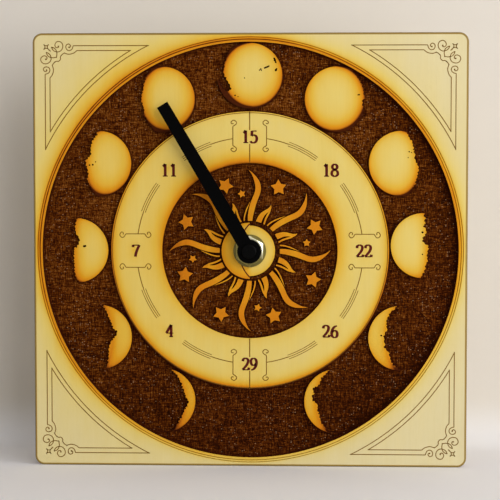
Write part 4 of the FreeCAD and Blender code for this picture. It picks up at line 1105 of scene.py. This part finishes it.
def make_ring_marks():
    lines = []
    dots = []
    for quarter in range(4):
        turn_deg = 90 * quarter
        for side in (-1, 1):
            for points in bracket_lines(side):
                lines.append(even(turned(points, turn_deg)))
            for z, way in ((bracket_high, 1), (bracket_low, -1)):
                centre = (side * (bracket_reach + bracket_eye[0]), z + way * bracket_eye[1])
                dots.append((turned([centre], turn_deg)[0], knot_radius))
        bracket_deg = math.degrees(math.asin(bracket_reach / arc_radius))
        for start, end in ((bracket_deg, bundle_start_deg), (90 - bundle_start_deg, 90 - bracket_deg)):
            lines.append(even(dial_arc(arc_radius, turn_deg + start, turn_deg + end)))
        for start, end in ((bundle_start_deg, bundle_end_deg),
                           (90 - bundle_end_deg, 90 - bundle_start_deg)):
            for radius in bundle_radii:
                lines.append(even(dial_arc(radius, turn_deg + start, turn_deg + end), bundle_half))
    for way in (-1, 1):
        for start, end in ((tick_stop_high, ring_outer - tick_inset),
                           (tick_stop_low, ring_inner + tick_inset)):
            lines.append(even(straight((0, way * start), (0, way * end), 3), tick_half))
    ring_line = dial_arc(ring_outer - ring_line_inset, 0, 360)
    lines.append(even(ring_line, ring_line_half))
    return engraved_piece("ring_marks", lines, dots, "fine_line")


def make_sun_divider():
    line = arc_through(sun_line[0], sun_line[1], sun_line[2], 24)
    return engraved_piece("sun_divider", [even(line, divider_half)], [], "deep_char")


# Numbers: strokes of each digit in shares of its height, right and up from its lower left
digit_shares = {
    "1": [((0.13, 0.80), (0.22, 0.88), (0.31, 1.0)), ((0.32, 1.0), (0.32, 0.0)),
          ((0.12, 0.02), (0.52, 0.02))],
    "2": [((0.08, 0.74), (0.12, 0.91), (0.30, 0.99), (0.48, 0.90), (0.51, 0.72), (0.42, 0.48),
           (0.24, 0.24), (0.06, 0.04)), ((0.05, 0.04), (0.55, 0.04)), ((0.55, 0.02), (0.58, 0.22))],
    "4": [((0.42, 0.99), (0.04, 0.32)), ((0.03, 0.31), (0.61, 0.31)), ((0.43, 0.99), (0.43, 0.0)),
          ((0.28, 0.02), (0.58, 0.02))],
    "5": [((0.15, 0.96), (0.52, 0.96)), ((0.15, 0.98), (0.13, 0.56)),
          ((0.13, 0.57), (0.30, 0.63), (0.48, 0.53), (0.54, 0.32), (0.46, 0.10), (0.26, 0.0),
           (0.09, 0.05), (0.05, 0.15))],
    "6": [((0.52, 0.95), (0.32, 0.88), (0.15, 0.66), (0.08, 0.36), (0.14, 0.10), (0.31, 0.0),
           (0.49, 0.08), (0.54, 0.30), (0.47, 0.50), (0.30, 0.57), (0.12, 0.44))],
    "7": [((0.05, 0.95), (0.57, 0.95)), ((0.06, 0.97), (0.04, 0.78)),
          ((0.57, 0.96), (0.40, 0.60), (0.28, 0.26), (0.24, 0.0))],
    "8": [((0.30, 0.54), (0.13, 0.66), (0.12, 0.86), (0.30, 0.98), (0.48, 0.86), (0.47, 0.66),
           (0.30, 0.54), (0.09, 0.40), (0.07, 0.14), (0.30, 0.0), (0.53, 0.14), (0.51, 0.40),
           (0.30, 0.54))],
}
digit_shares["9"] = [tuple((0.60 - x, 0.98 - z) for x, z in stroke) for stroke in digit_shares["6"]]
digit_width_share = 0.60


def nib_stroke(points):
    """A stroke written with a broad pen: upright parts thick, level parts thin."""
    line = []
    for index, point in enumerate(points):
        before = points[max(index - 1, 0)]
        after = points[min(index + 1, len(points) - 1)]
        along = Vector((after[0] - before[0], after[1] - before[1])).normalized()
        share = nib_thin_share + (nib_thick_share - nib_thin_share) * abs(along.y) ** 0.8
        line.append((point, share * number_height))
    return line


def number_lines(text, centre):
    pitch = digit_width_share * number_height + number_gap
    left = centre[0] - (pitch * len(text) - number_gap) / 2
    lines = []
    for index, digit in enumerate(text):
        for stroke in digit_shares[digit]:
            points = smooth(stroke) if len(stroke) > 2 else straight(stroke[0], stroke[1], 4)
            lines.append(nib_stroke([
                (left + index * pitch + x * number_height,
                 centre[1] + (z - 0.5) * number_height) for x, z in points]))
    return lines


def make_age_numbers():
    lines = []
    for index, text in enumerate(age_numbers):
        lines += number_lines(text, polar(number_radius, index * 360 / len(age_numbers)))
    return engraved_piece("age_numbers", lines, [], "deep_char")


make_corner_scrolls()
make_ring_marks()
make_sun_divider()
make_age_numbers()


# Room, lights and camera


def seen_directly(tree):
    """One for rays from the camera, and for those mirrored by or passed through a piece."""
    path = tree.nodes.new("ShaderNodeLightPath")
    seen = Signal(tree, path.outputs["Is Camera Ray"])
    for title in ("Is Glossy Ray", "Is Transmission Ray"):
        seen = greater(seen, Signal(tree, path.outputs[title]))
    return seen


def backdrop_finish():
    """Pale warm paper. Its level part glows a little, to look as bright as the upright
    part, and is darker far from the clock, where the lamp is near. Its back can be
    looked through."""
    material, tree, shader = new_finish("pale_paper")
    position = place(tree)
    fibre = noise(position, 900.0, 3.0)
    drift = noise(position, 3.0, 2.0)
    flat_x, flat_y, flat_z = facing(tree)
    level = step_up(flat_z, 0.1, 0.95)
    x, y, z = split(position)
    # Painted shade: seen directly, the paper turns darker far from the clock, where the lamp is near
    far = step_up(length(x, y), floor_dims_from, floor_dims_to) * seen_directly(tree)
    tone = mixed(clamp_share(0.3 * fibre + 0.7 * drift), paint(228, 221, 211), paint(223, 215, 204))
    tone = mixed(far, tone, paint(112, 108, 102))
    finish_surface(tree, shader, mixed(level, tone, paint(232, 229, 228)), 0.9,
                   bumped(fibre, 0.05, 0.0001))
    shader.inputs["Specular IOR Level"].default_value = 0.05
    shader.inputs["Emission Strength"].default_value = 1.0
    feed(tree, mixed(level * seen_directly(tree), (0.0, 0.0, 0.0, 1.0), floor_glow),
         shader.inputs["Emission Color"])
    clear = tree.nodes.new("ShaderNodeBsdfTransparent")
    side = tree.nodes.new("ShaderNodeNewGeometry")
    either = tree.nodes.new("ShaderNodeMixShader")
    tree.links.new(side.outputs["Backfacing"], either.inputs[0])
    tree.links.new(shader.outputs[0], either.inputs[1])
    tree.links.new(clear.outputs[0], either.inputs[2])
    output = next(node for node in tree.nodes if node.type == "OUTPUT_MATERIAL")
    tree.links.new(either.outputs[0], output.inputs[0])
    return material


def make_backdrop():
    """Floor that curves up into a wall behind the clock."""
    wall_y = cad_high.y + wall_gap
    profile = [(-room_front, 0.0)]
    steps = 10
    for step in range(steps + 1):
        angle = math.pi / 2 * step / steps
        profile.append((wall_y - cove_radius + cove_radius * math.sin(angle),
                        cove_radius - cove_radius * math.cos(angle)))
    profile.append((wall_y, room_height))
    mesh = bmesh.new()
    rows = []
    for y, z in profile:
        rows.append([mesh.verts.new((x, y, z)) for x in (-room_half, room_half)])
    for first, second in zip(rows, rows[1:]):
        mesh.faces.new((first[0], first[1], second[1], second[0]))
    for face in mesh.faces:
        face.smooth = True
    data = bpy.data.meshes.new("backdrop")
    mesh.to_mesh(data)
    mesh.free()
    backdrop = bpy.data.objects.new("backdrop", data)
    bpy.context.scene.collection.objects.link(backdrop)
    data.materials.append(backdrop_finish())


def aimed(thing, target):
    thing.rotation_euler = (Vector(target) - thing.location).to_track_quat("-Z", "Y").to_euler()


def make_lamp(name, place_from_dial, wide, high, power):
    data = bpy.data.lights.new(name, "AREA")
    data.shape = "RECTANGLE"
    data.size = wide
    data.size_y = high
    data.energy = power
    lamp = bpy.data.objects.new(name, data)
    bpy.context.scene.collection.objects.link(lamp)
    dial = Vector((0, face_y, dial_z))
    lamp.location = dial + Vector(place_from_dial)
    aimed(lamp, dial)


def make_world():
    """Dim neutral room. Where it is looked at, or mirrored, it is as pale as the paper."""
    world = bpy.data.worlds.new("studio")
    world.use_nodes = True
    tree = world.node_tree
    background = tree.nodes["Background"]
    feed(tree, mixed(seen_directly(tree), room_light, room_seen), background.inputs["Color"])
    background.inputs["Strength"].default_value = 1.0
    bpy.context.scene.world = world


def make_camera():
    data = bpy.data.cameras.new("camera")
    data.lens = camera_lens
    data.clip_start = 0.01
    data.clip_end = 20.0
    camera = bpy.data.objects.new("camera", data)
    bpy.context.scene.collection.objects.link(camera)
    right = math.radians(camera_right_deg)
    up = math.radians(camera_up_deg)
    aim = Vector((camera_aim_right, face_y, dial_z + camera_aim_up))
    camera.location = aim + camera_distance * Vector((
        math.sin(right) * math.cos(up), -math.cos(right) * math.cos(up), math.sin(up)))
    aimed(camera, aim)
    bpy.context.scene.camera = camera


make_backdrop()
make_lamp("key_lamp", key_place, key_wide, key_high, key_power)
make_world()
make_camera()
bpy.context.scene.view_settings.view_transform = "Standard"
